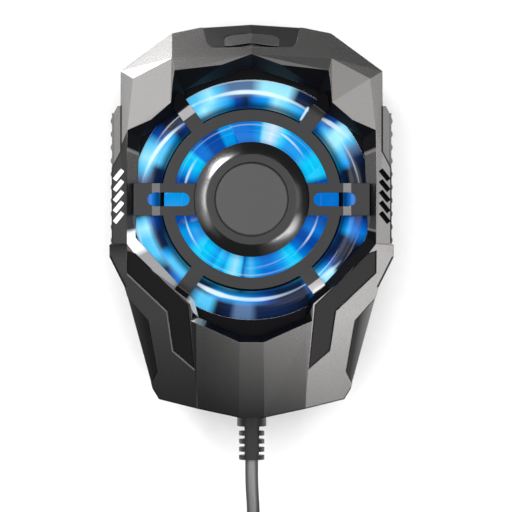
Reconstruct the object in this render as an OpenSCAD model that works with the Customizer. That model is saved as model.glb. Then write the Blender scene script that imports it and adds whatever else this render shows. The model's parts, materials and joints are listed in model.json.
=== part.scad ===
// Phone cooling fan: a clamp-on cooler with a guarded fan, a heat sink and a thermoelectric tile.
// It lies on its back: the phone side faces down, the fan faces up (+Z), the cable leaves at -Y.
// Lengths are in millimetres.

/* [Housing] */
// Width over the closed clamp arms
body_w = 66; // [62:0.5:72]
// Length from the top ridge to the cable's collar
body_l = 91; // [86:0.5:98]
// Depth from the back face to the front's highest edge
body_h = 24.4; // [23.6:0.1:26]
// Thickness of the side walls
wall = 1.6; // [1.3:0.05:1.9]
// Thickness of the front's roof
roof_t = 1.7; // [1.5:0.05:1.9]
// Thickness of the back floor
floor_t = 1.6; // [1.4:0.05:1.8]
// Height of the front shell's parting line above the back face
part_h = 8.7; // [8:0.1:9.4]
// Height of the slanted band round the back edge
back_bevel_h = 3.4; // [2.5:0.1:4]

/* [Window] */
// Depth of the black deck below the front's highest edge
deck_depth = 6.4; // [6:0.1:6.8]
// Thickness of the deck
deck_t = 1.4; // [1:0.1:1.6]
// Depth of the sloped inner walls' lower edge
lip_depth = 4.7; // [4.4:0.1:4.9]
// Distance of the fan's axis from the middle of the housing
fan_y = 5.1; // [4.6:0.1:5.4]

/* [Clamp] */
// Depth that the jaws reach below the thermal pad
jaw_h = 11; // [9:0.5:14]
// Travel of each arm
travel = 12.5; // [8:0.5:12.5]
// Thickness of an arm's outer wall with its rubber grip
arm_t = 2.3; // [2:0.1:2.4]
// Length of an arm's outer wall
arm_l = 32.5; // [32:0.1:32.6]
// Clearance between the thermoelectric tile and the lower rack
rack_gap = 0.8; // [0.6:0.1:1]
// Width of a jaw
jaw_w = 24; // [16:0.5:28]
// Reach of a jaw's lip under the phone
lip_reach = 3.6; // [2.5:0.1:5]
// Thickness of a jaw's lip
lip_t = 1.8; // [1.4:0.1:2.4]
// Thickness of the rubber grips on the arms
grip_t = 0.8; // [0.6:0.05:0.9]
// Thickness of the rubber liners in the jaws
liner_t = 1; // [0.6:0.1:1.4]
// Thickness of the sliding legs
leg_t = 2.2; // [1.8:0.1:2.3]

/* [Fan] */
// Radius over the blades
blade_r = 20.5; // [19.5:0.1:20.7]
// Height of the blades
blade_h = 4.6; // [4:0.1:4.8]
// Number of blades
blade_count = 9; // [7:1:11]
// Slope of the blades
blade_angle = 36; // [28:1:42]
// Radius of the rotor's hub
hub_r = 10.6; // [10.2:0.1:11]
// Radius of the rotor's shaft
shaft_r = 0.75; // [0.6:0.05:0.9]

/* [Guard] */
// Inner radius of the guard's ring
guard_r0 = 18.1; // [17.6:0.1:18.4]
// Outer radius of the guard's ring
guard_r1 = 20.8; // [20.4:0.1:21.2]
// Thickness of the guard
guard_t = 1.6; // [1.3:0.1:1.7]
// Radius of the bright trim ring
trim_r = 13.3; // [12.8:0.1:13.8]
// Radius of the centre disc
disc_r = 8.2; // [7.6:0.1:8.6]
// Width of the two slotted arms
beam_w = 7.5; // [6.8:0.1:8]
// Width of the four spokes
spoke_w = 3.5; // [3:0.1:4]

/* [Cooling] */
// Side of the thermoelectric tile
tile_w = 20; // [18:0.5:20]
// Thickness of the thermoelectric tile
tile_t = 3.2; // [3.2:0.1:3.4]
// Side of the cold plate
plate_w = 38; // [34:0.5:40]
// Thickness of the thermal pad
pad_t = 0.8; // [0.5:0.1:1.2]
// Side of the heat sink
sink_w = 36; // [35:0.5:37]
// Height of the heat sink's fins
fin_h = 4.5; // [3.5:0.1:4.6]
// Thickness of a fin
fin_t = 0.7; // [0.5:0.05:0.9]
// Distance between fins
fin_pitch = 2.4; // [2.2:0.1:3]

/* [Cable] */
// Diameter of the cable
cable_d = 3.1; // [2.9:0.05:3.15]
// Number of turns in the coil
coil_turns = 10; // [6:2:10]
// Radius of the coil's outer turn
coil_r = 22.2; // [22.2:0.1:24]
// Distance between turns
turn_pitch = 3.65; // [3.62:0.01:3.7]

/* [Hidden] */
$fn = 64;

// Overrun of a cut past the face it opens
over = 0.5;
// Clearance between pieces that are fitted together
fit_gap = 0.15;
// Clearance of the sliding arms
slide_gap = 0.3;
// Radial clearance of a shaft in its bore
run_gap = 0.05;

half_w = body_w / 2;
half_l = body_l / 2;
z_back = jaw_h + pad_t;
z_floor = z_back + floor_t;
z_part = z_back + part_h;
z_front = z_back + body_h;
z_deck = z_front - deck_depth;
z_lip = z_front - lip_depth;

// Rim of the front, clockwise from the top ridge: shares of half width, half length and depth
rim_shares = [[0, 1, 0.905], [0.358, 0.985, 0.873], [0.558, 0.956, 0.866], [0.918, 0.765, 0.848],
              [0.921, 0.358, 0.85], [0.982, 0.273, 0.843], [0.982, -0.11, 0.838],
              [1, -0.121, 0.802], [1, -0.18, 0.78], [0.894, -0.334, 0.77],
              [0.7, -0.857, 0.656], [0.655, -0.91, 0.658], [0.376, -0.956, 0.775],
              [0.088, -1, 0.807], [0, -1, 0.807]];
// Window's edge on the front, clockwise from the top
edge_shares = [[0, 0.846, 1], [0.538, 0.764, 0.98], [0.564, 0.602, 0.95], [0.87, 0.464, 0.875],
               [0.873, -0.114, 0.869], [0.43, -0.418, 0.963], [0.424, -0.505, 0.93],
               [0.085, -0.613, 0.951], [0, -0.613, 0.951]];
// Where the window's sloped walls end, at the height of the lip
lip_shares = [[0, 0.791], [0.476, 0.67], [0.518, 0.558], [0.787, 0.426], [0.815, -0.082],
              [0.405, -0.401], [0.372, -0.49], [0.07, -0.578], [0, -0.578]];
// Inner corners of the facets beside the top block
facet_shares = [[0.558, 0.826, 0.945], [0.83, 0.725, 0.892]];
// How far the window's cutter is carried past the front's edge
cutter_share = 1.7;
// Swelling of the window's walls towards the inside
swell_share = 1.06;
// Back face's outline against the rim
back_share = 0.95;

function rim_pt(i, inset) = [rim_shares[i][0] * (half_w - inset), rim_shares[i][1] * (half_l - inset)];
function rim_ring(inset, z) = [for (i = [0:len(rim_shares) - 1]) concat(rim_pt(i, inset), [z])];
function placed(s, inset, drop) =
    [s[0] * (half_w - inset), s[1] * (half_l - inset), z_back + s[2] * body_h - drop];
function flipped(p) = len(p) == 3 ? [-p[0], p[1], p[2]] : [-p[0], p[1]];
function twin(i, pts) = pts[i][0] == 0 ? i : i + len(pts);
function both_pts(pts) = concat(pts, [for (p = pts) flipped(p)]);
function both_faces(faces, pts) =
    concat(faces, [for (f = faces) [for (k = [len(f) - 1:-1:0]) twin(f[k], pts)]]);
function fan_of(f) = [for (i = [1:len(f) - 2]) [f[0], f[i], f[i + 1]]];
function fans(list) = [for (f = list) for (t = fan_of(f)) t];
function whole_ring(half) = concat(half,
    [for (i = [len(half) - 1:-1:0]) if (half[i][0] != 0) flipped(half[i])]);

// Solid under the front's facets, drawn in by inset and lowered by drop, down to z_low
module skin(inset, drop, z_low) {
    rim = [for (s = rim_shares) placed(s, inset, drop)];
    edge = [for (s = edge_shares) placed(s, inset, drop)];
    inner = [for (s = facet_shares) placed(s, inset, drop)];
    low = rim_ring(inset, z_low);
    cap = [[0, fan_y, z_front - drop]];
    pts = concat(rim, edge, inner, cap, low);
    e = len(rim);
    a = e + len(edge);
    c = a + len(inner);
    b = c + 1;
    front = fans([[e, 0, 1, 2, a, e + 1], [a, 2, 3, a + 1], [a, a + 1, e + 2, e + 1],
                  [e + 3, e + 2, a + 1, 3, 4], [e + 4, e + 3, 4, 5, 6], [e + 4, 6, 7, 8, 9],
                  [e + 5, e + 4, 9, 10], [e + 6, e + 5, 10, 11, 12], [e + 6, 12, 13, e + 7],
                  [e + 7, 13, 14, e + 8]]);
    top = [for (i = [0:len(edge) - 2]) [e + i, e + i + 1, c]];
    sides = [for (i = [0:len(rim) - 2]) [i, b + i, b + i + 1, i + 1]];
    bottom = [[for (i = [len(rim) - 1:-1:0]) b + i]];
    polyhedron(both_pts(pts), both_faces(concat(front, top, sides, bottom), pts));
}

// Solid between two half rings of points and their mirror images
module ring_loft(low, high) {
    n = len(low);
    pts = concat(low, high, [[0, fan_y, high[0][2]]]);
    sides = [for (i = [0:n - 2]) for (f = [[n + i, i, i + 1], [n + i, i + 1, n + i + 1]]) f];
    top = [for (i = [0:n - 2]) [n + i, n + i + 1, 2 * n]];
    bottom = [[for (i = [n - 1:-1:0]) i]];
    polyhedron(both_pts(pts), both_faces(concat(sides, top, bottom), pts));
}

function lip_pt(i, k) =
    [lip_shares[i][0] * half_w * k, fan_y + (lip_shares[i][1] * half_l - fan_y) * k, z_lip];
function edge_pt(i, k) = let (p = placed(edge_shares[i], 0, 0)) [p[0] * k, fan_y + (p[1] - fan_y) * k, p[2]];

// Space inside the window's walls, scaled by k about the fan's axis: sloped above the lip, upright below it
module window_space(k, z_low) {
    low = [for (i = [0:len(lip_shares) - 1]) lip_pt(i, k)];
    high = [for (i = [0:len(lip_shares) - 1]) lip_pt(i, k) + cutter_share * (edge_pt(i, k) - lip_pt(i, k))];
    ring_loft(low, high);
    below = [for (p = low) [p[0], p[1]]];
    translate([0, 0, z_low]) linear_extrude(z_lip - z_low) polygon(whole_ring(below));
}

module rim_prism(inset, z_low, z_high) {
    translate([0, 0, z_low]) linear_extrude(z_high - z_low)
        polygon(whole_ring([for (i = [0:len(rim_shares) - 1]) rim_pt(i, inset)]));
}

module both_sides() {
    children();
    mirror([1, 0, 0]) children();
}

module tube(r0, r1, z_low, z_high) {
    difference() {
        translate([0, 0, z_low]) cylinder(r = r1, h = z_high - z_low);
        translate([0, 0, z_low - over]) cylinder(r = r0, h = z_high - z_low + 2 * over);
    }
}

module box(x0, x1, y0, y1, z0, z1) {
    translate([x0, y0, z0]) cube([x1 - x0, y1 - y0, z1 - z0]);
}

// Tube swept along a path of points, with sides flats
function unit(v) = v / norm(v);
function heading(path, i) = unit(path[min(i + 1, len(path) - 1)] - path[max(i - 1, 0)]);
function section(p, t, r, sides, up) =
    let (u = unit(cross(up, t)), v = cross(t, u))
    [for (k = [0:sides - 1]) p + r * (cos(360 * k / sides) * u + sin(360 * k / sides) * v)];
module swept(path, r, sides, up = [0, 0, 1]) {
    n = len(path);
    pts = [for (i = [0:n - 1]) for (q = section(path[i], heading(path, i), r, sides, up)) q];
    walls = [for (i = [0:n - 2]) for (k = [0:sides - 1])
             let (a = i * sides + k, b = i * sides + (k + 1) % sides)
             for (f = [[a, b, b + sides], [a, b + sides, a + sides]]) f];
    first = [[for (k = [sides - 1:-1:0]) k]];
    last = [[for (k = [0:sides - 1]) (n - 1) * sides + k]];
    polyhedron(pts, concat(walls, first, last));
}

// Clamp arms: their places at rest, closed
arm_x0 = half_w - arm_t;
// Top of an arm's wall below the front's highest edge
arm_top_depth = 10.2;
z_arm = z_front - arm_top_depth;
// Lift of the legs off the back floor
leg_lift = 0.4;
z_leg = z_floor + leg_lift;

// Rack and pinion that couple the two arms
gear_module = 0.6;
pinion_teeth = 10;
tooth_slope = 25;
tooth_gap = 0.16;
tip_share = 0.75;
root_share = 1;
rack_bar_w = 2;
pitch_r = gear_module * pinion_teeth / 2;
tooth_pitch = PI * gear_module;
tip_h = tip_share * gear_module;
root_h = root_share * gear_module;
rack_reach = pitch_r + root_h + rack_bar_w;
pinion_y = fan_y + tile_w / 2 + rack_gap + rack_reach;
pinion_pin_r = 1;
arm_y1 = pinion_y + rack_reach;
arm_y0 = arm_y1 - arm_l;
arm_y = (arm_y0 + arm_y1) / 2;
// Lower legs and the springs hooked to them
low_leg_w = 2.6;
low_leg_x = 12;
low_leg_y0 = arm_y0 + slide_gap;
low_leg_y1 = low_leg_y0 + low_leg_w;
hook_t = 1.6;
spring_r = 1.1;
spring_wire_r = 0.22;
spring_turns = 9;
spring_gap = 1.1;
spring_y = fan_y - tile_w / 2 - spring_gap - spring_r;
hook_y0 = spring_y - spring_r;
anchor_x = 2.4;
anchor_w = 2.6;
// Grip ribs
rib_pitch = 3.1;
rib_r = 1.1;
rib_proud = 0.3;
rib_count = floor(arm_l / rib_pitch);
// Top corner of the arm's wall, cut off
corner_x = 1.6;
corner_y = 1.5;

// Screws: places as shares of half width and half length, radii and depths
screw_shares = [[0.636, 0.758], [0.47, -0.78], [0.745, 0.651], [0.594, -0.409]];
function laid(s) = [s[0] * half_w, s[1] * half_l];
shell_screw_top = laid(screw_shares[0]);
shell_screw_low = laid(screw_shares[1]);
deck_screw_top = laid(screw_shares[2]);
deck_screw_low = laid(screw_shares[3]);
shell_places = [shell_screw_top, flipped(shell_screw_top), shell_screw_low, flipped(shell_screw_low)];
deck_places = [deck_screw_top, flipped(deck_screw_top), deck_screw_low, flipped(deck_screw_low)];
shell_boss_r = 2.6;
shell_screw_r = 1;
shell_head_r = 1.8;
shell_head_h = 1.2;
shell_screw_l = 11;
head_skin = 1;
deck_boss_r = 2;
deck_screw_r = 0.8;
deck_head_r = 1.4;
deck_head_h = 0.8;
deck_screw_l = 3.4;

// Parts of the window
recess_d = 0.9;
inlay_t = 0.55;
insert_depth = 1.6;
insert_t = 0.6;
// Thickening of the roof under the side inserts
insert_pad = 1;

// Outline of the top inlay and of the button in it: shares of half width and half length
top_inlay_shares = [[0, 1.011], [0.3485, 1.011], [0.309, 0.901], [0.2788, 0.8813], [0, 0.8813]];
button_shares = [[0, 0.9538], [0.1515, 0.9429], [0.1879, 0.9319], [0.1879, 0.8879], [0.1515, 0.8879],
                 [0, 0.9033]];
button_travel = 0.5;
top_inlay_half = [for (s = top_inlay_shares) laid(s)];
button_half = [for (s = button_shares) laid(s)];
inlay_low_y = top_inlay_half[3][1];
button_x = button_half[2][0];
button_y0 = button_half[3][1];
button_y1 = button_half[2][1];
button_y = (button_y0 + button_y1) / 2;

// Dark strip beside the window's lower corner: shares of half width and half length
low_inlay_shares = [[0.876, -0.147], [0.876, -0.263], [0.592, -0.457], [0.551, -0.659],
                    [0.4, -0.752], [0.432, -0.506], [0.442, -0.424], [0.812, -0.163]];
// Recess low on the side
side_insert_shares = [[0.93, -0.34], [0.724, -0.505], [0.664, -0.767], [0.706, -0.824],
                      [0.78, -0.826], [1.02, -0.34]];
low_inlay = [for (s = low_inlay_shares) laid(s)];
side_insert = [for (s = side_insert_shares) laid(s)];

// Slanted slots beside the window, their floors sloped down towards the outside
slot_count = 5;
slot_pitch = 2.46;
slot_w = 1.1;
slot_l = 3;
slot_tilt = -51;
slot_slope = 22;
slot_d = 0.5;
slot_shares = [[0.9333, 0.1286, 0.84]];
slot_mid = laid(slot_shares[0]);
z_slot = z_back + slot_shares[0][2] * body_h;

// Vents in the rear shell
vent_w = 1.6;
vent_h = 4.6;
vent_lift = 2;
vent_pitch = 3.4;
top_vents = 7;
low_vents = 4;
low_vent_lean = 15;
low_vent_shares = [[0.8, -0.593]];
low_vent_mid = laid(low_vent_shares[0]);

// Cable's gland at the parting line
relief_r = 3.45;
relief_collar_l = 2.6;
relief_rib_r = 3;
relief_rib_l = 1;
relief_rib_pitch = 1.9;
relief_ribs = 4;
relief_spine_w = 3.3;
relief_l = 10.5;
gland_flange_x = 5;
gland_flange_t = 1.4;
gland_neck_r = 2.6;
gland_y = -half_l;
z_cable = z_part;

module arm_block(grow) {
    both_sides() box(arm_x0 - slide_gap - grow, half_w + over, arm_y0 - slide_gap - grow,
                     arm_y1 + slide_gap + grow, -over, z_arm + slide_gap + grow);
}

module at_each(places) {
    for (p = places) translate([p[0], p[1], 0]) children();
}

// Recess that follows the front's facets
module recess(depth) {
    difference() {
        translate([0, 0, z_part]) linear_extrude(body_h) children();
        skin(0, depth, z_part - over);
    }
}

// Plate that fills a recess, with its top sunk below the front and its edge inside the rim
module fill(depth, t) {
    intersection() {
        recess(depth) children();
        skin(fit_gap, depth - t, z_part - over);
    }
}

module drawn_in(gap) {
    offset(delta = -gap) children();
}

module gland_space(grow) {
    translate([0, gland_y - over, z_cable]) rotate([-90, 0, 0])
        cylinder(r = gland_neck_r + grow, h = wall + 2 * over + over);
    box(-gland_flange_x - grow, gland_flange_x + grow, gland_y + wall - grow,
        gland_y + wall + gland_flange_t + grow, z_cable - gland_flange_x + wall - grow,
        z_cable + gland_flange_x - wall + grow);
    translate([0, gland_y + wall, z_cable]) rotate([-90, 0, 0]) cylinder(r = gland_bore_r, h = gland_block_l);
}

gland_block_x = 7;
gland_block_l = 5;
gland_bore_r = 1.7;
switch_post_shares = [[0.2788, 0.9121]];
switch_post = laid(switch_post_shares[0]);
switch_post_r = 1;

module front_shell() {
    color([0.42, 0.42, 0.42]) difference() {
        skin(0, 0, z_part - 2 * over);
        box(-body_w, body_w, -body_l, body_l, z_part - 3 * over, z_part);
        difference() {
            skin(wall, roof_t, z_part - over);
            window_space(swell_share, z_deck);
            arm_block(wall);
            at_each(shell_places) translate([0, 0, z_part]) cylinder(r = shell_boss_r, h = body_h);
            at_each(deck_places) translate([0, 0, z_deck]) cylinder(r = deck_boss_r, h = body_h);
            both_sides() translate([switch_post[0], switch_post[1], z_switch])
                cylinder(r = switch_post_r, h = body_h);
            both_sides() recess(insert_depth + insert_pad) offset(delta = wall) polygon(side_insert);
            box(-gland_block_x, gland_block_x, gland_y, gland_y + gland_block_l, z_part,
                z_part + gland_flange_x);
        }
        window_space(1, z_part - over);
        translate([0, fan_y, z_part]) cylinder(r = ring_hole_r + fit_gap, h = z_lip - z_part);
        arm_block(0);
        gland_space(fit_gap);
        recess(recess_d) polygon(whole_ring(top_inlay_half));
        both_sides() recess(recess_d) polygon(low_inlay);
        both_sides() recess(insert_depth) polygon(side_insert);
        translate([0, 0, z_deck]) linear_extrude(body_h) offset(delta = fit_gap)
            polygon(whole_ring(button_half));
        both_sides() vent_slots();
        at_each(shell_places) translate([0, 0, z_part - over])
            cylinder(r = shell_screw_r, h = shell_screw_l - part_h + 2 * over + head_skin + shell_head_h);
        at_each(deck_places) translate([0, 0, z_deck - over])
            cylinder(r = deck_screw_r, h = deck_screw_l - deck_t + 2 * over);
    }
}

// Slots whose floors slope down towards the outside
module vent_slots() {
    for (i = [0:slot_count - 1])
        translate([slot_mid[0], slot_mid[1] + (i - (slot_count - 1) / 2) * slot_pitch, z_slot])
            rotate([0, 0, slot_tilt]) intersection() {
                translate([-slot_l / 2, -slot_w / 2, -slot_d - over]) cube([slot_l, slot_w, body_h]);
                translate([0, 0, -slot_d]) rotate([-slot_slope, 0, 0])
                    translate([-slot_l, -slot_l, 0]) cube([2 * slot_l, 2 * slot_l, body_h]);
            }
}

// Bosses of the rear shell
fan_lug_r = 24.6;
fan_boss_r = 2;
fan_screw_r = 0.8;
fan_head_r = 1.5;
fan_head_h = 0.9;
sink_boss_r = 1.9;
sink_edge = 3.5;
sink_screw_x = max(tile_w / 2 + sink_boss_r + slide_gap, sink_w / 2 - sink_edge);
sink_screw_r = 0.8;
sink_head_r = 1.7;
sink_head_h = 1;
sink_base_t = 1.6;
z_sink = z_floor + tile_t;
z_fins = z_sink + sink_base_t;
z_fan = z_fins + fin_h + leg_lift;
fan_base_t = 1;
lug_t = 2;
fan_places = [for (a = [45:90:315]) [fan_lug_r * cos(a), fan_y + fan_lug_r * sin(a)]];
sink_places = [[sink_screw_x, fan_y], [-sink_screw_x, fan_y]];
plate_flange_t = 0.9;
pedestal_w = 24;
guide_t = 1;
guide_x = 11.5;
board_post_x = 8;
board_post_r = 1.5;
board_inset = 2;
board_lift = 3.6;
board_t = 1;
z_board = z_floor + board_lift;

// Control board near the cable
board_x = 11;
board_gap = 6.5;
board_l = 16.5;
board_y0 = gland_y + board_gap;
board_y1 = board_y0 + board_l;
board_posts = [for (x = [-board_post_x, board_post_x])
    for (y = [board_y0 + board_inset, board_y1 - board_inset]) [x, y]];

// Upright walls, with a slanted band round the back edge
module rear_body() {
    slope = (1 - back_share) / back_bevel_h;
    intersection() {
        rim_prism(0, z_back, z_part);
        ring_loft(rim_ring_scaled(back_share - slope * over, z_back - over),
                  rim_ring_scaled(1 + slope * (part_h - back_bevel_h + over), z_part + over));
    }
}

module rear_shell() {
    color([0.2, 0.2, 0.21]) difference() {
        union() {
            difference() {
                rear_body();
                difference() {
                    rim_prism(2 * wall, z_floor, z_part + over);
                    arm_block(wall);
                    at_each(shell_places) translate([0, 0, z_back]) cylinder(r = shell_boss_r, h = part_h);
                    box(-gland_block_x, gland_block_x, gland_y, gland_y + gland_block_l,
                        z_part - gland_flange_x, z_part);
                }
            }
            at_each(fan_places) translate([0, 0, z_floor - floor_t / 2])
                cylinder(r = fan_boss_r, h = z_fan - z_floor + floor_t / 2);
            at_each(sink_places) translate([0, 0, z_floor - floor_t / 2])
                cylinder(r = sink_boss_r, h = tile_t + floor_t / 2);
            at_each(board_posts) translate([0, 0, z_floor - floor_t / 2])
                cylinder(r = board_post_r, h = board_lift + floor_t / 2);
            box(-anchor_x, anchor_x, spring_y - anchor_w / 2, spring_y + anchor_w / 2,
                z_floor - floor_t / 2, z_leg + leg_t);
            both_sides() {
                box(guide_x, arm_x0 - slide_gap - wall, low_leg_y1 + slide_gap,
                    low_leg_y1 + slide_gap + guide_t, z_floor - floor_t / 2, z_leg + leg_t);
                box(guide_x, arm_x0 - slide_gap - wall, arm_y1 + slide_gap, arm_y1 + slide_gap + guide_t,
                    z_floor - floor_t / 2, z_leg + leg_t);
            }
        }
        arm_block(0);
        gland_space(fit_gap);
        both_sides() leg_slot(low_leg_y0, low_leg_y1);
        leg_slot(pinion_y + pitch_r - tip_h, arm_y1);
        mirror([1, 0, 0]) leg_slot(pinion_y - pitch_r - root_h - rack_bar_w, pinion_y - pitch_r + tip_h);
        translate([0, fan_y, 0]) {
            box(-plate_w / 2 - fit_gap, plate_w / 2 + fit_gap, -plate_w / 2 - fit_gap,
                plate_w / 2 + fit_gap, z_back - over, z_back + plate_flange_t);
            box(-pedestal_w / 2 - fit_gap, pedestal_w / 2 + fit_gap, -pedestal_w / 2 - fit_gap,
                pedestal_w / 2 + fit_gap, z_back, z_floor + over);
        }
        translate([0, pinion_y, z_back]) cylinder(r = pinion_pin_r, h = floor_t + over);
        at_each(shell_places) {
            translate([0, 0, z_back - over])
                cylinder(r = shell_head_r + run_gap, h = shell_head_h + head_skin + over);
            translate([0, 0, z_back]) cylinder(r = shell_screw_r, h = part_h + over);
        }
        at_each(fan_places) translate([0, 0, z_floor + over]) cylinder(r = fan_screw_r, h = z_fan);
        at_each(sink_places) translate([0, 0, z_floor]) cylinder(r = sink_screw_r, h = tile_t + over);
        rear_vents();
    }
}

function rim_ring_scaled(k, z) = [for (p = rim_ring(0, z)) [p[0] * k, p[1] * k, z]];

module leg_slot(y0, y1) {
    box(arm_x0 - slide_gap - 2 * wall, arm_x0, y0 - slide_gap, y1 + slide_gap, z_leg - slide_gap,
        z_leg + leg_t + slide_gap);
}

module rear_vents() {
    for (i = [0:top_vents - 1])
        translate([(i - (top_vents - 1) / 2) * vent_pitch - vent_w / 2, half_l - 4 * wall,
            z_floor + vent_lift / 2])
            cube([vent_w, 6 * wall, vent_h]);
    both_sides() translate([low_vent_mid[0], low_vent_mid[1], z_floor + vent_lift / 2])
        rotate([0, 0, -low_vent_lean])
        for (i = [0:low_vents - 1])
            translate([-3 * wall, (i - (low_vents - 1) / 2) * vent_pitch - vent_w / 2, 0])
                cube([6 * wall, vent_w, vent_h]);
}

// Deck and light ring
ring_hole_r = 28;
light_r1 = 27.9;
light_r0 = 21.3;
light_r = (light_r0 + light_r1) / 2;
light_arch_r = 3.4;
light_sink = 0.4;
light_t = 1.1;
// Outline of the deck: shares of half width and half length
deck_shares = [[0, 0.866], [0.515, 0.866], [0.803, 0.714], [0.857, 0.59], [0.857, -0.22],
               [0.68, -0.45], [0.47, -0.53], [0.424, -0.66], [0, -0.66]];

module window_deck() {
    color([0.05, 0.05, 0.055]) difference() {
        translate([0, 0, z_deck - deck_t]) linear_extrude(deck_t)
            polygon(whole_ring([for (s = deck_shares) laid(s)]));
        translate([0, fan_y, z_deck - deck_t - over]) cylinder(r = ring_hole_r, h = deck_t + 2 * over);
        at_each(shell_places) translate([0, 0, z_deck - deck_t - over])
            cylinder(r = shell_boss_r + slide_gap, h = deck_t + 2 * over);
        at_each(deck_places) translate([0, 0, z_deck - deck_t - over])
            cylinder(r = deck_screw_r + run_gap, h = deck_t + 2 * over);
    }
}

module light_ring() {
    color([0.15, 0.6, 1, 0.8]) translate([0, fan_y, z_deck - deck_t]) rotate_extrude() intersection() {
        translate([light_r, -light_sink]) difference() {
            circle(r = light_arch_r);
            circle(r = light_arch_r - light_t);
        }
        translate([light_r0, 0]) square([light_r1 - light_r0, light_arch_r]);
    }
}

led_board_r0 = 22.7;
led_board_r1 = 28.6;
led_count = 12;
led_w = 1.6;
led_h = 0.7;

module led_board() {
    color([0.9, 0.9, 0.88]) translate([0, fan_y, 0])
        tube(led_board_r0, led_board_r1, z_deck - deck_t - board_t, z_deck - deck_t);
}

module led_chips() {
    color([0.6, 0.85, 1]) translate([0, fan_y, z_deck - deck_t])
        for (i = [0:led_count - 1]) rotate([0, 0, 360 * (i + 0.5) / led_count])
            translate([light_r - led_w / 2, -led_w / 2, 0]) cube([led_w, led_w, led_h]);
}

module top_inlay() {
    color([0.2, 0.2, 0.2]) difference() {
        fill(recess_d, inlay_t) drawn_in(fit_gap) polygon(whole_ring(top_inlay_half));
        translate([0, 0, z_part]) linear_extrude(2 * body_h) offset(delta = fit_gap)
            polygon(whole_ring(button_half));
        box(-button_x - fit_gap, button_x + fit_gap, inlay_low_y - over, button_y1, z_part, z_front + over);
    }
}

module lower_inlay() {
    color([0.14, 0.13, 0.13]) difference() {
        fill(recess_d, inlay_t) drawn_in(fit_gap) polygon(low_inlay);
        window_space(1, z_part);
    }
}

module right_lower_inlay() {
    lower_inlay();
}

module left_lower_inlay() {
    mirror([1, 0, 0]) lower_inlay();
}

module right_side_insert() {
    color([0.16, 0.16, 0.16]) fill(insert_depth, insert_t) drawn_in(fit_gap) polygon(side_insert);
}

module left_side_insert() {
    mirror([1, 0, 0]) right_side_insert();
}

// Mode button with its stem, and the switch under it
button_sink = 0.1;
button_flange_x = 7.4;
button_flange_t = 0.8;
switch_board_x = switch_post[0] + switch_post_r + fit_gap;
switch_board_w = 3.2;
switch_w = 3.4;
switch_h = 1.5;
plunger_r = 0.9;
plunger_h = 1.4;
switch_board_drop = 9.5;
z_switch = z_front - switch_board_drop;
z_plunger = z_switch + switch_h + button_travel + fit_gap;
// Roof's underside at the button, below the front's highest edge
button_roof_drop = 4.1;
z_flange = z_front - button_roof_drop - button_flange_t;

module mode_button() {
    color([0.4, 0.4, 0.4]) {
        intersection() {
            translate([0, 0, z_flange + button_flange_t / 2]) linear_extrude(body_h)
                polygon(whole_ring(button_half));
            skin(0, button_sink, z_part);
        }
        box(-button_flange_x, button_flange_x, button_y0, button_y1, z_flange, z_flange + button_flange_t);
        translate([0, button_y, z_plunger])
            cylinder(r = (button_y1 - button_y0) / 2, h = z_flange - z_plunger + button_flange_t / 2);
    }
}

module switch_plunger() {
    color([0.1, 0.1, 0.1]) translate([0, button_y, z_plunger - plunger_h])
        cylinder(r = plunger_r, h = plunger_h);
}

module switch_body() {
    color([0.7, 0.7, 0.72]) translate([0, button_y, z_switch]) difference() {
        translate([-switch_w / 2, -switch_w / 2, 0]) cube([switch_w, switch_w, switch_h]);
        translate([0, 0, fit_gap]) cylinder(r = plunger_r + run_gap, h = switch_h);
    }
}

module switch_board() {
    color([0.05, 0.3, 0.15]) box(-switch_board_x, switch_board_x, button_y - switch_board_w / 2,
                                      button_y + switch_board_w / 2, z_switch - board_t, z_switch);
}

// Guard over the fan
guard_lift = 0.2;
z_guard = z_deck - deck_t - light_sink + light_arch_r + guard_lift;
beam_x = 26.9;
beam_slot_x0 = 14.35;
beam_slot_x1 = 23.8;
beam_slot_w = 3.15;
spoke_reach = 29.5;
spoke_angles = [53, 127, 233, 307];
trim_h = 1.8;
trim_land_r = 11.2;
disc_groove = 0.3;
hub_seat_t = 1;

module fan_guard() {
    color([0.3, 0.29, 0.29]) intersection() {
        translate([0, fan_y, 0]) difference() {
            union() {
                tube(guard_r0, guard_r1, z_guard, z_guard + guard_t);
                translate([0, 0, z_guard]) cylinder(r = trim_r, h = hub_seat_t);
                box(-beam_x, beam_x, -beam_w / 2, beam_w / 2, z_guard, z_guard + guard_t);
                for (a = spoke_angles) rotate([0, 0, a])
                    box((guard_r0 + guard_r1) / 2, spoke_reach, -spoke_w / 2, spoke_w / 2, z_guard,
                        z_guard + guard_t);
            }
            for (s = [-1, 1]) {
                translate([0, 0, z_guard - over]) beam_slot(s);
            }
            translate([0, 0, z_guard + hub_seat_t]) cylinder(r = trim_r + fit_gap / 2, h = guard_t);
        }
        window_space(1 - fit_gap / half_w, z_part);
    }
}

module beam_slot(s) {
    end_r = beam_slot_w / 2;
    x0 = beam_slot_x0 + end_r;
    x1 = beam_slot_x1 - end_r;
    translate([s * x0, 0, 0]) cylinder(r = end_r, h = 2 * guard_t);
    translate([s * x1, 0, 0]) cylinder(r = end_r, h = 2 * guard_t);
    translate([min(s * x0, s * x1), -end_r, 0]) cube([x1 - x0, 2 * end_r, 2 * guard_t]);
}

module hub_trim_ring() {
    color([0.62, 0.62, 0.64]) translate([0, fan_y, z_guard + hub_seat_t]) rotate_extrude()
        polygon([[disc_r + disc_groove, 0], [trim_r, 0], [trim_r, trim_h / 4], [trim_land_r, trim_h],
                 [disc_r + disc_groove, trim_h]]);
}

module hub_disc() {
    color([0.38, 0.38, 0.38]) translate([0, fan_y, z_guard + hub_seat_t]) cylinder(r = disc_r, h = trim_h);
}

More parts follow.
